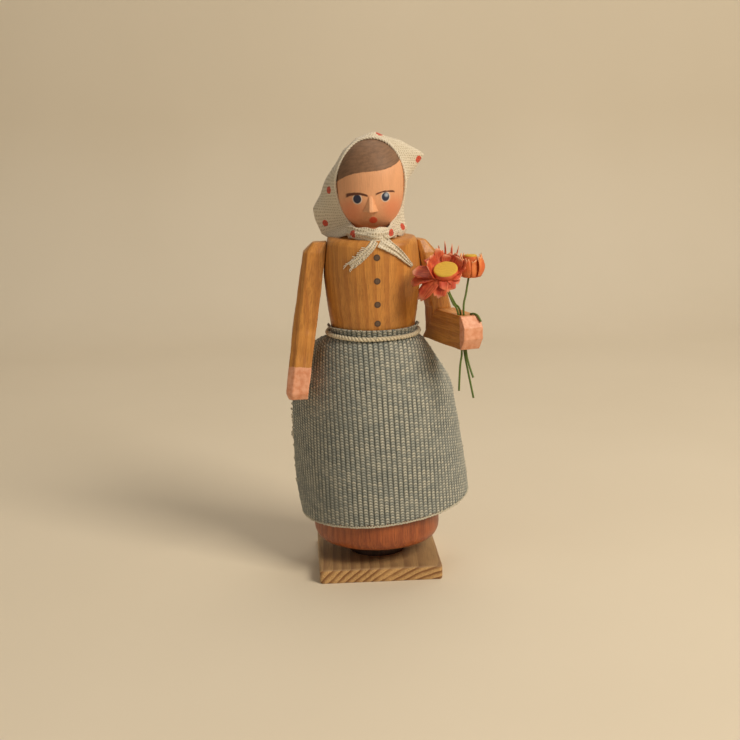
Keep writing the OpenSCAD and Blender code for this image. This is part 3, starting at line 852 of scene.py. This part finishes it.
def make_head():
    profile = [(0, HEAD_MID - HEAD_DOWN)]
    steps = 96
    for i in range(1, steps):
        a = -pi / 2 + pi * i / steps
        if a >= 0:
            profile.append((HEAD_R * cos(a), HEAD_MID + HEAD_UP * sin(a)))
        else:
            out, down = cos(a) ** (2 / CHIN_POWER), sin(-a) ** (2 / CHIN_POWER)
            profile.append((HEAD_R * out, HEAD_MID - HEAD_DOWN * down))
    profile.append((0, HEAD_MID + HEAD_UP))
    parts = Parts()
    parts.add(*lathe(profile, 192))
    neck = [(0, 87.9), (NECK_R, 87.95), (NECK_R, 90), (NECK_R, 92), (NECK_R - 0.4, 93), (0, 93.5)]
    parts.add(*lathe(neck, 64))
    add_piece("head_egg", parts.points, parts.faces, face_paint(), "root", node="head")
    nose = skin_paint("nose_paint")
    wedge = softened("nose", "nose_wedge", 0.10, 3, nose.done(), "root")
    for vertex in wedge.data.vertices:
        vertex.co.x = vertex.co.x * NOSE_WIDER + NOSE_OFF_CENTRE * MM


# ---------- arms ----------

BENT_TURN = radians(19.7)
BENT_ALONG = Vector((sin(BENT_TURN), -cos(BENT_TURN), 0))
ELBOW = Vector((15.95, 3.95, 65))


def make_arms():
    hang = Vector((-0.12, -0.24, -1)).normalized()
    right = arm_wood("right_arm_wood", (-40, 6, 60), hang, lambda p: brush_edge(p, (0, 0, -1), -55.9))
    softened("right_arm", "right_arm_carving", 0.22, 3, right, RIGHT_ARM, 0.16, 11)
    upper = arm_wood("upper_arm_wood", (34, 16, 70), UP, lambda p: 0.0)
    softened("left_upper_arm", "left_upper_arm_carving", 0.20, 3, upper, LEFT_ARM, 0.14, 23)
    wrist = ELBOW.dot(BENT_ALONG) + 21.0
    fore = arm_wood("forearm_wood", (34, -4, 50), BENT_ALONG, lambda p: brush_edge(p, BENT_ALONG, wrist))
    softened("left_forearm", "left_forearm_carving", 0.16, 2, fore, LEFT_ARM, 0.14, 37)


# ---------- headscarf ----------

# Stations of the headscarf from the lower left over the crown to the lower right
SCARF_FACE = [(-3.4, -8.0, 89.9), (-5.3, -3.0, 91.4), (-7.45, -1.5, 94.8), (-8.9, -1.8, 99.8),
              (-8.7, -2.4, 104.2), (-6.5, -2.6, 108.9), (-3.4, -1.8, 112.0), (0.4, -1.7, 112.9),
              (4.2, -1.8, 111.7), (7.0, -2.2, 108.6), (8.5, -2.9, 104.5), (8.6, -2.6, 100.0),
              (7.45, -1.4, 94.8), (5.0, -3.2, 91.4), (3.4, -8.0, 89.6)]
SCARF_SIDE = [(-9.2, -0.4, 87.7), (-12.4, 4.6, 88.6), (-14.6, 5.0, 94.9), (-12.4, 4.4, 98.9),
              (-9.2, 2.6, 105.4), (-6.0, 1.3, 110.1), (-3.1, 1.2, 112.7), (1.2, 0.8, 114.0),
              (8.2, 1.0, 111.5), (13.6, 1.3, 108.3), (10.9, 1.5, 104.3), (8.5, 1.5, 100.3),
              (7.3, 1.3, 95.2), (9.0, 0.6, 89.8), (7.4, -1.0, 88.1)]
SCARF_REAR = [(-8.5, 6.4, 88.3), (-9.6, 7.6, 90.0), (-10.2, 8.4, 94.5), (-9.4, 7.6, 99.4),
              (-8.4, 7.4, 103.5), (-6.2, 7.3, 107.4), (-3.4, 7.2, 110.0), (0.0, 7.2, 111.0),
              (3.6, 7.2, 110.2), (6.6, 7.0, 107.4), (8.2, 6.8, 103.5), (8.7, 6.8, 99.4),
              (8.7, 6.8, 94.5), (8.5, 6.4, 90.0), (8.3, 5.8, 88.4)]
SCARF_BACK = [(-5.2, 11.0, 87.1), (-5.4, 10.9, 88.6), (-5.4, 11.0, 91.6), (-5.2, 11.0, 95.6),
              (-4.8, 10.9, 99.4), (-3.8, 10.8, 102.4), (-2.0, 10.8, 104.4), (0.0, 10.9, 105.0),
              (2.0, 10.8, 104.4), (3.8, 10.8, 102.4), (4.8, 10.9, 99.4), (5.2, 10.9, 95.6),
              (5.4, 10.9, 91.6), (5.4, 10.8, 88.6), (5.2, 10.9, 87.1)]
SCARF_SEAM = [(0, 13.6, 85.0), (0, 13.4, 86.0), (0, 13.2, 88.0), (0, 13.1, 90.5), (0, 13.0, 93.0),
              (0, 12.9, 95.0), (0, 12.9, 96.5)]
SCARF_POINT = SCARF_SEAM + [(0, 12.9, 97.0)] + SCARF_SEAM[::-1]
SCARF_DOTS_SEEN = [(-10.5, 100.0), (-11.6, 91.2), (2.4, 113.5), (12.2, 107.4), (8.0, 90.4), (-5.3, 89.6)]
SCARF_DOTS_BEHIND = [(0.10, 0.55), (0.30, 0.45), (0.32, 0.80), (0.50, 0.60), (0.50, 0.93), (0.68, 0.80),
                     (0.72, 0.45), (0.90, 0.55)]


SCARF_WIDTH = 56
SCARF_THICK = 0.28
SCARF_SIDE_STRAIGHT = 0.75


def make_scarf():
    across = 10
    rows = [curve_through(row, across) for row in
            (SCARF_FACE, SCARF_SIDE, SCARF_REAR, SCARF_BACK, SCARF_POINT)]
    for i, point in enumerate(rows[1][:-1]):
        start, end = Vector(SCARF_SIDE[i // across]), Vector(SCARF_SIDE[i // across + 1])
        rows[1][i] = point.lerp(start.lerp(end, i % across / across), SCARF_SIDE_STRAIGHT)
    cols = len(rows[0])
    down = 22
    lines = [curve_through([row[c] for row in rows], down) for c in range(cols)]
    depth = len(lines[0])
    points, sheet = [], []
    for c, line in enumerate(lines):
        run = 0.0
        for d, point in enumerate(line):
            if d:
                run += (point - line[d - 1]).length
            share = d / (depth - 1)
            fold = sin(c / (cols - 1) * 31 + 3 * share) * 0.22
            fold *= sin(pi * min(1, share * 1.2))
            out = Vector((point.x, point.y - 1, (point.z - 100) * 0.6)).normalized()
            crease = noise.noise(point * 0.22) * 0.5 * min(1, share * 4)
            points.append(point + out * (fold * 0.6 + crease))
            sheet.append((c / (cols - 1) * SCARF_WIDTH, run))
    # The two halves of the last row meet at the back and share their points
    seam = {c * depth + depth - 1: (cols - 1 - c) * depth + depth - 1 for c in range(cols // 2 + 1, cols)}
    faces = [tuple(seam.get(i, i) for i in face) for face in grid_faces(cols, depth)]
    # A dot seen from the front goes to the nearest point of the cloth's front part
    front_y, far_y = 3, 500
    tree = kdtree.KDTree(len(points))
    for i, p in enumerate(points):
        tree.insert(Vector((p.x, 0 if p.y < front_y else far_y, p.z)), i)
    tree.balance()
    dots = [points[tree.find(Vector((x, 0, z)))[1]] for x, z in SCARF_DOTS_SEEN]
    dots += [points[round(u * (cols - 1)) * depth + round(v * (depth - 1))] for u, v in SCARF_DOTS_BEHIND]
    points, faces, sheet = drop_loose(points, faces, sheet)
    shell, walls = thicken(points, faces, SCARF_THICK)
    cloth = gauze("gauze", dots)
    scarf = add_piece("headscarf_cloth", shell, walls, cloth, "root", sheet + sheet, "headscarf")
    rolled = Parts()
    edge = [line[0] for line in lines]
    add_cord(rolled, edge, 0.20, 1.6, 0.24, 7)
    hem = yarn("rolled_gauze", (0.90, 0.83, 0.70, 1), (0.70, 0.62, 0.48, 1))
    roll = add_piece("headscarf_rolled_edge", rolled.points, rolled.faces, hem, "root")
    return scarf, roll, hem


def make_knot(hem):
    """The gathered band under the chin, the knot in front of it, and the two ends."""
    cloth = gauze("knot_gauze", [(4.3, -9.0, 89.7), (-5.0, -8.2, 89.5)])
    path = curve_through([(-6.0, -5.2, 89.9), (-4.5, -7.9, 89.7), (-2.0, -9.7, 89.3), (0.3, -10.5, 89.0),
                          (2.5, -9.7, 89.2), (4.5, -7.9, 89.6), (5.9, -5.2, 89.9)], 12)
    rings = frames_along(path)
    sides = 48
    points, sheet = [], []
    for i, (point, _, side, other) in enumerate(rings):
        share = i / (len(rings) - 1)
        swell = 0.95 + 0.30 * exp(-((share - 0.52) / 0.16) ** 2)
        for k in range(sides):
            a = TURN * k / sides
            fold = 1 + 0.16 * sin(5 * a + 7 * share) + 0.09 * sin(9 * a - 12 * share)
            fold += 0.18 * noise.noise(Vector((cos(a) * 1.5, sin(a) * 1.5, share * 9)))
            points.append(point + swell * fold * (cos(a) * side * 0.9 + sin(a) * other * 1.45))
            sheet.append((k / sides * 8, share * 15))
    _, faces = tube(path, 1, sides)
    band = add_piece("scarf_knot_folds", points, faces, cloth, "root", sheet, "scarf_knot")
    left = make_tail("scarf_tail_lace", "scarf_tail_right",
                     [(0.2, 88.0), (-0.9, 86.6), (-2.6, 84.9), (-4.4, 83.2), (-6.2, 81.9)],
                     lambda s: 0.65 + 0.30 * sin(pi * (0.15 + 0.6 * s)), cloth)
    right = make_tail("scarf_tail_point", "scarf_tail_left",
                      [(1.6, 88.0), (3.6, 86.6), (5.9, 84.8), (8.0, 82.7), (9.6, 81.1)],
                      lambda s: 1.75 - 1.50 * s, cloth)
    rng = random.Random(5)
    fray = Parts()
    threads = 26
    for i in range(threads):
        s = i / (threads - 1)
        x = -1.8 - 4.6 * s - (0.5 if i % 2 else 0.0) * (0.4 + s)
        z = 86.5 - 4.6 * s - (0.0 if i % 2 else 0.9)
        reach = 0.7 + rng.random() * 0.5
        angle = radians(200 if i % 2 else 250) + rng.uniform(-0.5, 0.5)
        stations = [(x + reach * t * cos(angle), z + reach * t * sin(angle)) for t in (0, 0.5, 1)]
        path = [on_chest(a + rng.uniform(-0.1, 0.1), b, 0.45) for a, b in stations]
        fray.add(*tube(curve_through(path, 3), 0.12, 5))
    lace = add_piece("scarf_tail_fray", fray.points, fray.faces, hem, "root")
    return [band, left, right, lace]


def on_chest(x, z, lift):
    """The point over the chest at this place from left to right and this height."""
    r = smooth_at(TORSO_OUTLINE, z) + lift
    if z > TORSO_TOP - TORSO_EDGE:
        drop = min(1.0, (z - TORSO_TOP + TORSO_EDGE) / TORSO_EDGE)
        r -= TORSO_EDGE * (1 - sqrt(1 - drop * drop))
    return Vector((x, -sqrt(max(0.0, r * r - x * x)), z))


def make_tail(name, node, route, half_width, cloth):
    """A flat end of the scarf on the chest; half_width is a function of the share along it."""
    path = curve_through([(x, 0, z) for x, z in route], 12)
    cols = 25
    points, sheet = [], []
    for i, (point, ahead, _, _) in enumerate(frames_along(path)):
        share = i / (len(path) - 1)
        normal = Vector((ahead.z, 0, -ahead.x))
        for c in range(cols):
            w = 2 * c / (cols - 1) - 1
            ragged = 0.12 * noise.noise(Vector((i * 0.6, w * 3, len(name))))
            spot = point + normal * (w * half_width(share) + ragged)
            lift = 0.42 + 0.20 * cos(w * 7 + share * 3) + 0.10 * noise.noise(spot * 0.8)
            points.append(on_chest(spot.x, spot.z, lift))
            sheet.append((w * half_width(share) + 20, share * 10))
    faces = grid_faces(len(path), cols)
    normals = point_normals(points, faces)
    if normals[len(points) // 2].y > 0:
        faces = [tuple(reversed(face)) for face in faces]
    shell, walls = thicken(points, faces, 0.22)
    return add_piece(name, shell, walls, cloth, "root", sheet + sheet, node)


# ---------- apron and waist cord ----------

APRON_REACH = 104
APRON_HEM, APRON_HEM_RISE, APRON_TOP = 15.9, 2.3, 65.3
APRON_WAIST = 11.05
APRON_GAP = 0.4
BAND_LOW = 60.5
APRON_BAND = [(BAND_LOW, bell_r(BAND_LOW) + APRON_GAP), (61.9, 11.6), (62.7, APRON_WAIST),
              (64.2, APRON_WAIST), (65.3, 11.6)]
APRON_RIGHT = [(13, 26.1), (18, 26), (36, 23.2), (43, 22.0), (48.5, 20.8), (52.5, 18.6), (57, 15.7),
               (60.5, 13.2), (61.9, 12), (62.7, APRON_WAIST), (64.2, APRON_WAIST), (65.3, 11.9)]
APRON_LEFT = [(13, 19.8), (18, 20.8), (30, 21.8), (43, 21.9), (50, 20.3), (55, 18.2), (60.5, 15.2),
              (61.9, 13.4), (62.7, APRON_WAIST), (64.2, APRON_WAIST), (65.3, 11.9)]
RIB_TILT = tan(radians(2.5))


def apron_point(a, z, lift):
    """Point on the apron at azimuth a from the front, in degrees, lifted off its inner face."""
    front = smooth_at(APRON_BAND, z) if z > BAND_LOW else bell_r(max(z, SKIRT_WIDE_Z)) + APRON_GAP
    side = smooth_at(APRON_RIGHT if a > 0 else APRON_LEFT, z)
    share = abs(a) / APRON_REACH
    r = front + (side - front) * share ** (2 if a > 0 else 4) + lift
    angle = radians(a)
    return Vector((r * sin(angle), -r * cos(angle), z))


def hem_z(a):
    return APRON_HEM + APRON_HEM_RISE * a / APRON_REACH


def apron_lift(z):
    """How far the cloth's face stands off the CAD solid's inner face."""
    return min(0.78, 0.30 + max(0.0, 62.6 - z) * 0.25)


def make_apron():
    row_gap = 0.30
    col_gap = RIB / 4
    cloth_t = 0.42
    rows = int((APRON_TOP - APRON_HEM + APRON_HEM_RISE) / row_gap) + 1
    samples = 104
    azimuths = [APRON_REACH * (2 * k / samples - 1) for k in range(samples + 1)]
    half = 150
    points, sheet, inside = [], [], []
    for row in range(rows):
        z = APRON_HEM - APRON_HEM_RISE + row * row_gap
        z = min(z, APRON_TOP)
        places = [apron_point(a, z, apron_lift(z)) for a in azimuths]
        run = [0.0]
        for p, q in zip(places, places[1:]):
            run.append(run[-1] + (q - p).length)
        middle = run[samples // 2]
        k = 0
        for col in range(-half, half + 1):
            s = col * col_gap
            rib = s + RIB_TILT * (z - 40)
            target = s + middle
            ragged = 1.1 * noise.noise(Vector((z * 0.8, 4.0 if s > 0 else 9.0, 0))) + 0.7
            fits = run[0] + ragged <= target <= run[-1] - ragged
            while k < samples - 1 and run[k + 1] < target:
                k += 1
            while k > 0 and run[k] > target:
                k -= 1
            t = min(1.0, max(0.0, (target - run[k]) / (run[k + 1] - run[k])))
            a = azimuths[k] + (azimuths[k + 1] - azimuths[k]) * t
            wave = 0.22 * noise.noise(Vector((s * 0.09, z * 0.07, 2.0))) * min(1, max(0, 60 - z) / 8)
            ridge = abs(sin(pi * rib / RIB)) ** 0.6
            point = apron_point(a, z, apron_lift(z) + wave + 0.20 * (ridge - 1))
            hem_cut = hem_z(a) + 0.25 * noise.noise(Vector((s * 0.8, 0, 7)))
            inside.append(fits and z >= hem_cut)
            points.append(point)
            sheet.append((rib / RIB + 200, z / STITCH))
    cols = 2 * half + 1
    faces = [face for face in grid_faces(rows, cols) if all(inside[i] for i in face)]
    points, faces, sheet = drop_loose(points, faces, sheet)
    shell, walls = thicken(points, faces, cloth_t)
    return add_piece("apron_cloth_sheet", shell, walls, apron_cloth(), "root", sheet + sheet,
                     "apron")


def apron_tangent(a, z):
    """Unit vectors on the cloth round the body and upwards, and the outward one."""
    round_it = (apron_point(a + 0.5, z, 0) - apron_point(a - 0.5, z, 0)).normalized()
    upward = (apron_point(a, z + 0.2, 0) - apron_point(a, z - 0.2, 0)).normalized()
    return round_it, upward, round_it.cross(upward).normalized()


def add_loop(parts, base, out, along, reach, width, radius):
    """A loop of yarn that leaves the cloth's edge and comes back."""
    path = [base - along * width, base - along * width * 0.9 + out * reach * 0.7, base + out * reach,
            base + along * width * 0.9 + out * reach * 0.7, base + along * width]
    parts.add(*tube(curve_through(path, 3), radius, 6))


def make_fringe():
    rng = random.Random(8)
    parts = Parts()
    edge = APRON_REACH - 1.6
    z = APRON_HEM + 2
    while z < BAND_LOW:
        for side in (-1, 1):
            a = side * edge
            if z < hem_z(a):
                continue
            round_it, upward, outward = apron_tangent(a, z)
            base = apron_point(a, z, apron_lift(z) - 0.2)
            add_loop(parts, base, side * round_it + outward * rng.uniform(-0.4, 0.4), upward,
                     rng.uniform(0.35, 1.05), rng.uniform(0.18, 0.30), 0.16)
        z += STITCH * rng.uniform(0.8, 1.2)
    a = -edge
    while a < edge:
        z = hem_z(a)
        round_it, upward, outward = apron_tangent(a, z)
        base = apron_point(a, z + 0.1, apron_lift(z) - 0.2)
        add_loop(parts, base, -upward + outward * rng.uniform(-0.1, 0.3), round_it,
                 rng.uniform(0.30, 0.45), 0.32, 0.23)
        a += 2.35 * rng.uniform(0.85, 1.15)
    a = -80
    while a < 95:
        z = APRON_TOP - 0.2
        round_it, upward, outward = apron_tangent(a, z)
        base = apron_point(a, z, apron_lift(z) - 0.2)
        add_loop(parts, base, upward + outward * rng.uniform(-0.3, 0.5), round_it,
                 rng.uniform(0.15, 0.40), 0.25, 0.13)
        a += rng.uniform(3, 8)
    cream = yarn("apron_edge_yarn", (0.74, 0.67, 0.52, 1), (0.42, 0.40, 0.32, 1))
    return add_piece("apron_edge_loops", parts.points, parts.faces, cream, "root")


CORD_Z = 63.4
CORD_RING = 11.92
KNOT_PLACE = Vector((0, 13.69, 63.4))
TIE_ENDS = ([(0.5, 13.2, 62.6), (0.9, 13.1, 61.6), (1.3, 13.4, 60), (2.2, 13.8, 57.5), (3, 14.3, 54.5)],
            [(-0.5, 13.2, 62.6), (-0.9, 13.1, 61.6), (-1.7, 13.3, 60.3), (-3, 13.7, 58.5), (-4.4, 14, 56)])


def make_cord():
    twine = yarn("twine", (0.82, 0.74, 0.56, 1), (0.56, 0.47, 0.31, 1))
    ring_steps, knot_steps = 420, 90
    ring = []
    for k in range(ring_steps):
        a = TURN * k / ring_steps
        sag = -0.18 * cos(a) + 0.05 * sin(5 * a)
        ring.append(Vector((CORD_RING * sin(a), -CORD_RING * cos(a), CORD_Z + sag)))
    parts = Parts()
    add_cord(parts, ring, 0.26, 1.9, 0.36, 8, closed=True)
    add_piece("waist_twine", parts.points, parts.faces, twine, "root", node="waist_cord")
    knot = Parts()
    loop = []
    for k in range(knot_steps):
        t = TURN * k / knot_steps
        x = sin(t) + 2 * sin(2 * t)
        z = cos(t) - 2 * cos(2 * t)
        loop.append(KNOT_PLACE + Vector((x * 0.29, -sin(3 * t) * 0.45, z * 0.29)))
    add_cord(knot, loop, 0.17, 1.7, 0.27, 8, closed=True)
    add_piece("waist_twine_knot", knot.points, knot.faces, twine, "root", node="waist_knot")
    ends = Parts()
    rng = random.Random(3)
    for route in TIE_ENDS:
        path = curve_through(route, 14)
        add_cord(ends, path, 0.24, 1.9, lambda s: 0.33 if s < 0.95 else 0.231, 8)
        tip, before = path[-1], path[-4]
        ahead = (tip - before).normalized()
        for _ in range(6):
            stray = Vector((rng.uniform(-1, 1), rng.uniform(-0.4, 0.4), rng.uniform(-0.4, 0.4)))
            fibre = [tip - ahead * 0.3, tip + ahead * 0.4 + stray * 0.2, tip + ahead * 0.9 + stray * 0.5]
            ends.add(*tube(curve_through(fibre, 3), 0.06, 5))
    add_piece("waist_twine_ends", ends.points, ends.faces, twine, "root", node="cord_ends")


# ---------- bouquet ----------

LARGE_PLACE = Vector((17.1, -16.5, 80.6))
LARGE_TURN = Matrix.Rotation(radians(-10), 3, "Y") @ Matrix.Rotation(radians(30), 3, "X")
SMALL_PLACE = Vector((23.9, -12, 84))
CORE_R, CORE_T = 3.0, 1.7
SMALL_R, SMALL_H = 1.6, 5.6
PETAL_REACH = 6.6


def petal(parts, turn, length, width, rise, curl, seed, start=1.6, low=-0.95):
    """One curled shaving: a strip from under the core outwards, lifted by rise, its tip curling in."""
    rng = random.Random(seed)
    rows, cols = 14, 7
    tear = [rng.uniform(-0.07, 0.06) for _ in range(cols)]
    twist = rng.uniform(-0.5, 0.5)

    def shape(share, k, w):
        t = share * (1 + (tear[k] - 0.16 * w * w) * share)
        angle = curl * t * t
        r = start + length * (t - 0.10 * angle * t)
        h = low + rise * t ** 1.7 + 0.28 * length * sin(angle) * t
        half = width / 2 * (0.55 + 0.75 * sin(pi * min(0.72, 0.15 + 0.6 * t)))
        h += 0.28 * w * w * width * 0.5 * t + twist * w * t * 0.8
        h += 0.18 * noise.noise(Vector((t * 4, w * 1.5, seed)))
        return r, w * half, h, t

    add_shaving(parts, turn, rows, cols, 0.16, shape)


def make_large_flower():
    red = shaving("red_shaving", (0.56, 0.062, 0.022, 1), (0.76, 0.160, 0.058, 1), (0.82, 0.36, 0.20, 1))
    parts = Parts()
    collar = [(0, -1.25), (2.3, -1.25), (2.4, -1.05), (2.2, -0.88), (0, -0.88)]
    parts.add(*lathe(collar, 32))
    rng = random.Random(12)
    count = 12
    for i in range(count):
        turn = TURN * (i + rng.uniform(-0.25, 0.25)) / count
        front, back = max(0.0, -sin(turn)), max(0.0, sin(turn))
        left = max(0.0, -cos(turn))
        reach = PETAL_REACH - 1.5 * cos(turn) + rng.uniform(-0.5, 0.4) - 2.4 * front + 0.7 * left
        rise = rng.uniform(0.4, 1.4) - 1.9 * front - 1.7 * left + 1.0 * back
        curl = rng.uniform(0.3, 1.5) - 2.6 * front - 1.2 * left
        petal(parts, turn, reach - 1.6, rng.uniform(2.4, 3.6), rise, curl, i)
    for i in range(9):
        turn = pi * (i + 0.3 + rng.uniform(-0.3, 0.3)) / 8
        petal(parts, turn, rng.uniform(2.2, 3.4), rng.uniform(1.6, 2.6), rng.uniform(1.4, 3.4),
              rng.uniform(0.6, 2.0), 50 + i, start=2.6)
    for i in range(4):
        turn = pi * (0.27 + 0.08 * i)
        petal(parts, turn, rng.uniform(3.6, 4.4), 0.32, rng.uniform(3.6, 4.8), rng.uniform(-0.6, 0.2),
              80 + i, start=2.8)
    points = [LARGE_TURN @ p + LARGE_PLACE for p in parts.points]
    add_piece("large_flower_shavings", points, parts.faces, red, LEFT_ARM, parts.sheet,
              "large_flower_petals")
    half = CORE_T / 2
    disc = [(0, -half), (CORE_R - 0.3, -half), (CORE_R, -half + 0.3), (CORE_R, half - 0.25),
            (CORE_R - 0.08, half - 0.1), (CORE_R - 0.25, half), (CORE_R - 0.5, half + 0.02),
            (CORE_R * 0.6, half + 0.05), (0, half + 0.05)]
    points, faces = lathe(disc, 64)
    points = [LARGE_TURN @ (p * (1 + 0.012 * sin(3 * p.x))) + LARGE_PLACE for p in points]
    core = add_piece("large_flower_disc", points, faces, core_top(), LEFT_ARM,
                     node="large_flower_core")
    core.data.materials.append(red)
    paint_rim(core, LARGE_TURN @ UP, LARGE_PLACE, half - 0.2)


def paint_rim(core, axis, place, level):
    """Gives the second material to the faces below a level along the disc's axis."""
    for polygon in core.data.polygons:
        if (polygon.center / MM - place).dot(axis) < level:
            polygon.material_index = 1


def small_petal(parts, turn, low, rng):
    """One upright shaving round the small flower's core, its tip curling out or in."""
    rows, cols = 16, 6
    lean, top = rng.uniform(0.4, 1.3), rng.uniform(4.2, 6.1)
    wide = rng.uniform(0.8, 1.4)
    curl = rng.uniform(-0.3, 1.4)
    tear = [rng.uniform(-0.20, 0.12) for _ in range(cols)]

    def shape(t, k, w):
        tall = t * (1 + tear[k] * t)
        r = SMALL_R + 0.35 + lean * sin(pi * min(1, 0.15 + 0.75 * t)) * 1.3
        r += curl * max(0.0, t - 0.7) * 1.8 - 0.12 * w * w
        h = low + 0.2 + top * tall - max(0.0, t - 0.8) * curl * 2
        return r, w * wide * (0.7 + 0.4 * sin(pi * t)), h, t

    add_shaving(parts, turn, rows, cols, 0.15, shape)


def make_small_flower():
    orange = shaving("orange_shaving", (0.74, 0.150, 0.038, 1), (0.86, 0.270, 0.070, 1),
                     (0.90, 0.50, 0.25, 1))
    parts = Parts()
    low = -SMALL_H
    collar = [(0, low - 0.1), (SMALL_R + 0.4, low), (SMALL_R + 0.5, low + 0.3), (SMALL_R, low + 0.6),
              (0, low + 0.7)]
    parts.add(*lathe(collar, 32))
    rng = random.Random(21)
    count = 9
    for i in range(count):
        small_petal(parts, TURN * (i + rng.uniform(-0.3, 0.3)) / count, low, rng)
    points = [p + SMALL_PLACE for p in parts.points]
    add_piece("small_flower_shavings", points, parts.faces, orange, LEFT_ARM, parts.sheet,
              "small_flower_petals")
    disc = [(0, low), (SMALL_R - 0.2, low), (SMALL_R, low + 0.2), (SMALL_R, -0.4), (SMALL_R - 0.05, -0.12),
            (SMALL_R - 0.2, 0), (SMALL_R * 0.5, 0.04), (0, 0.04)]
    points, faces = lathe(disc, 48)
    core = add_piece("small_flower_disc", [p + SMALL_PLACE for p in points], faces,
                     bpy.data.materials["core_top"], LEFT_ARM, node="small_flower_core")
    core.data.materials.append(orange)
    paint_rim(core, UP, SMALL_PLACE, -0.4)


LARGE_STEMS = ([(17.1, -16.2, 79.2), (17.6, -15.9, 76), (19, -15, 72.5), (20.4, -14.3, 69.8),
                (21.4, -13.9, 60.5), (20.9, -14.3, 56), (20.5, -15, 50)],
               [(17.4, -15.6, 79.4), (18, -15.2, 75.6), (19.6, -14.5, 72.3), (21.1, -13.6, 69.8),
                (22, -13.4, 60.5), (22.9, -14.1, 55), (24.2, -15, 48)])
SMALL_STEM = [(23.4, -12.3, 78.4), (22.6, -13.2, 74.5), (21.8, -14.3, 70.5), (22.4, -14.2, 60.5),
              (23.1, -15, 56.5), (24, -16, 53.5)]
LEAF_WIRE = [(23.5, -14.3, 69.4), (24.3, -15.2, 69.6), (25.1, -16.1, 69.2), (25.8, -16.9, 67.9)]
WIRE_R = 0.26


def make_stems():
    green = wire_paint()
    for name, node, routes in (("large_flower_wires", "large_flower_stems", LARGE_STEMS),
                               ("small_flower_wire", "small_flower_stem", [SMALL_STEM]),
                               ("leaf_snip", "leaf_wire", [LEAF_WIRE])):
        parts = Parts()
        for route in routes:
            parts.add(*tube(curve_through(route, 8), WIRE_R, 10))
        add_piece(name, parts.points, parts.faces, green, LEFT_ARM, node=node)


# ---------- the whole ----------

def finish_dowels():
    """The dowels keep their CAD shape. They are of bare wood, and the foot's is painted near-black as
    painted shade under the skirt.
    """
    bare = bare_wood()
    foot = NODES["foot_dowel"].data
    foot.materials.clear()
    foot.materials.append(foot_shade_wood())
    for node in ("waist_dowel", "neck_dowel", "right_shoulder_dowel", "left_shoulder_dowel",
                 "left_elbow_dowel"):
        NODES[node].data.materials.clear()
        NODES[node].data.materials.append(bare)


make_camera()
make_stage()
make_base()
make_skirt()
make_torso()
make_head()
make_arms()
scarf_sheet, scarf_roll, scarf_hem = make_scarf()
knot_pieces = make_knot(scarf_hem)
apron_sheet = make_apron()
apron_loops = make_fringe()
make_cord()
make_large_flower()
make_small_flower()
make_stems()
finish_dowels()
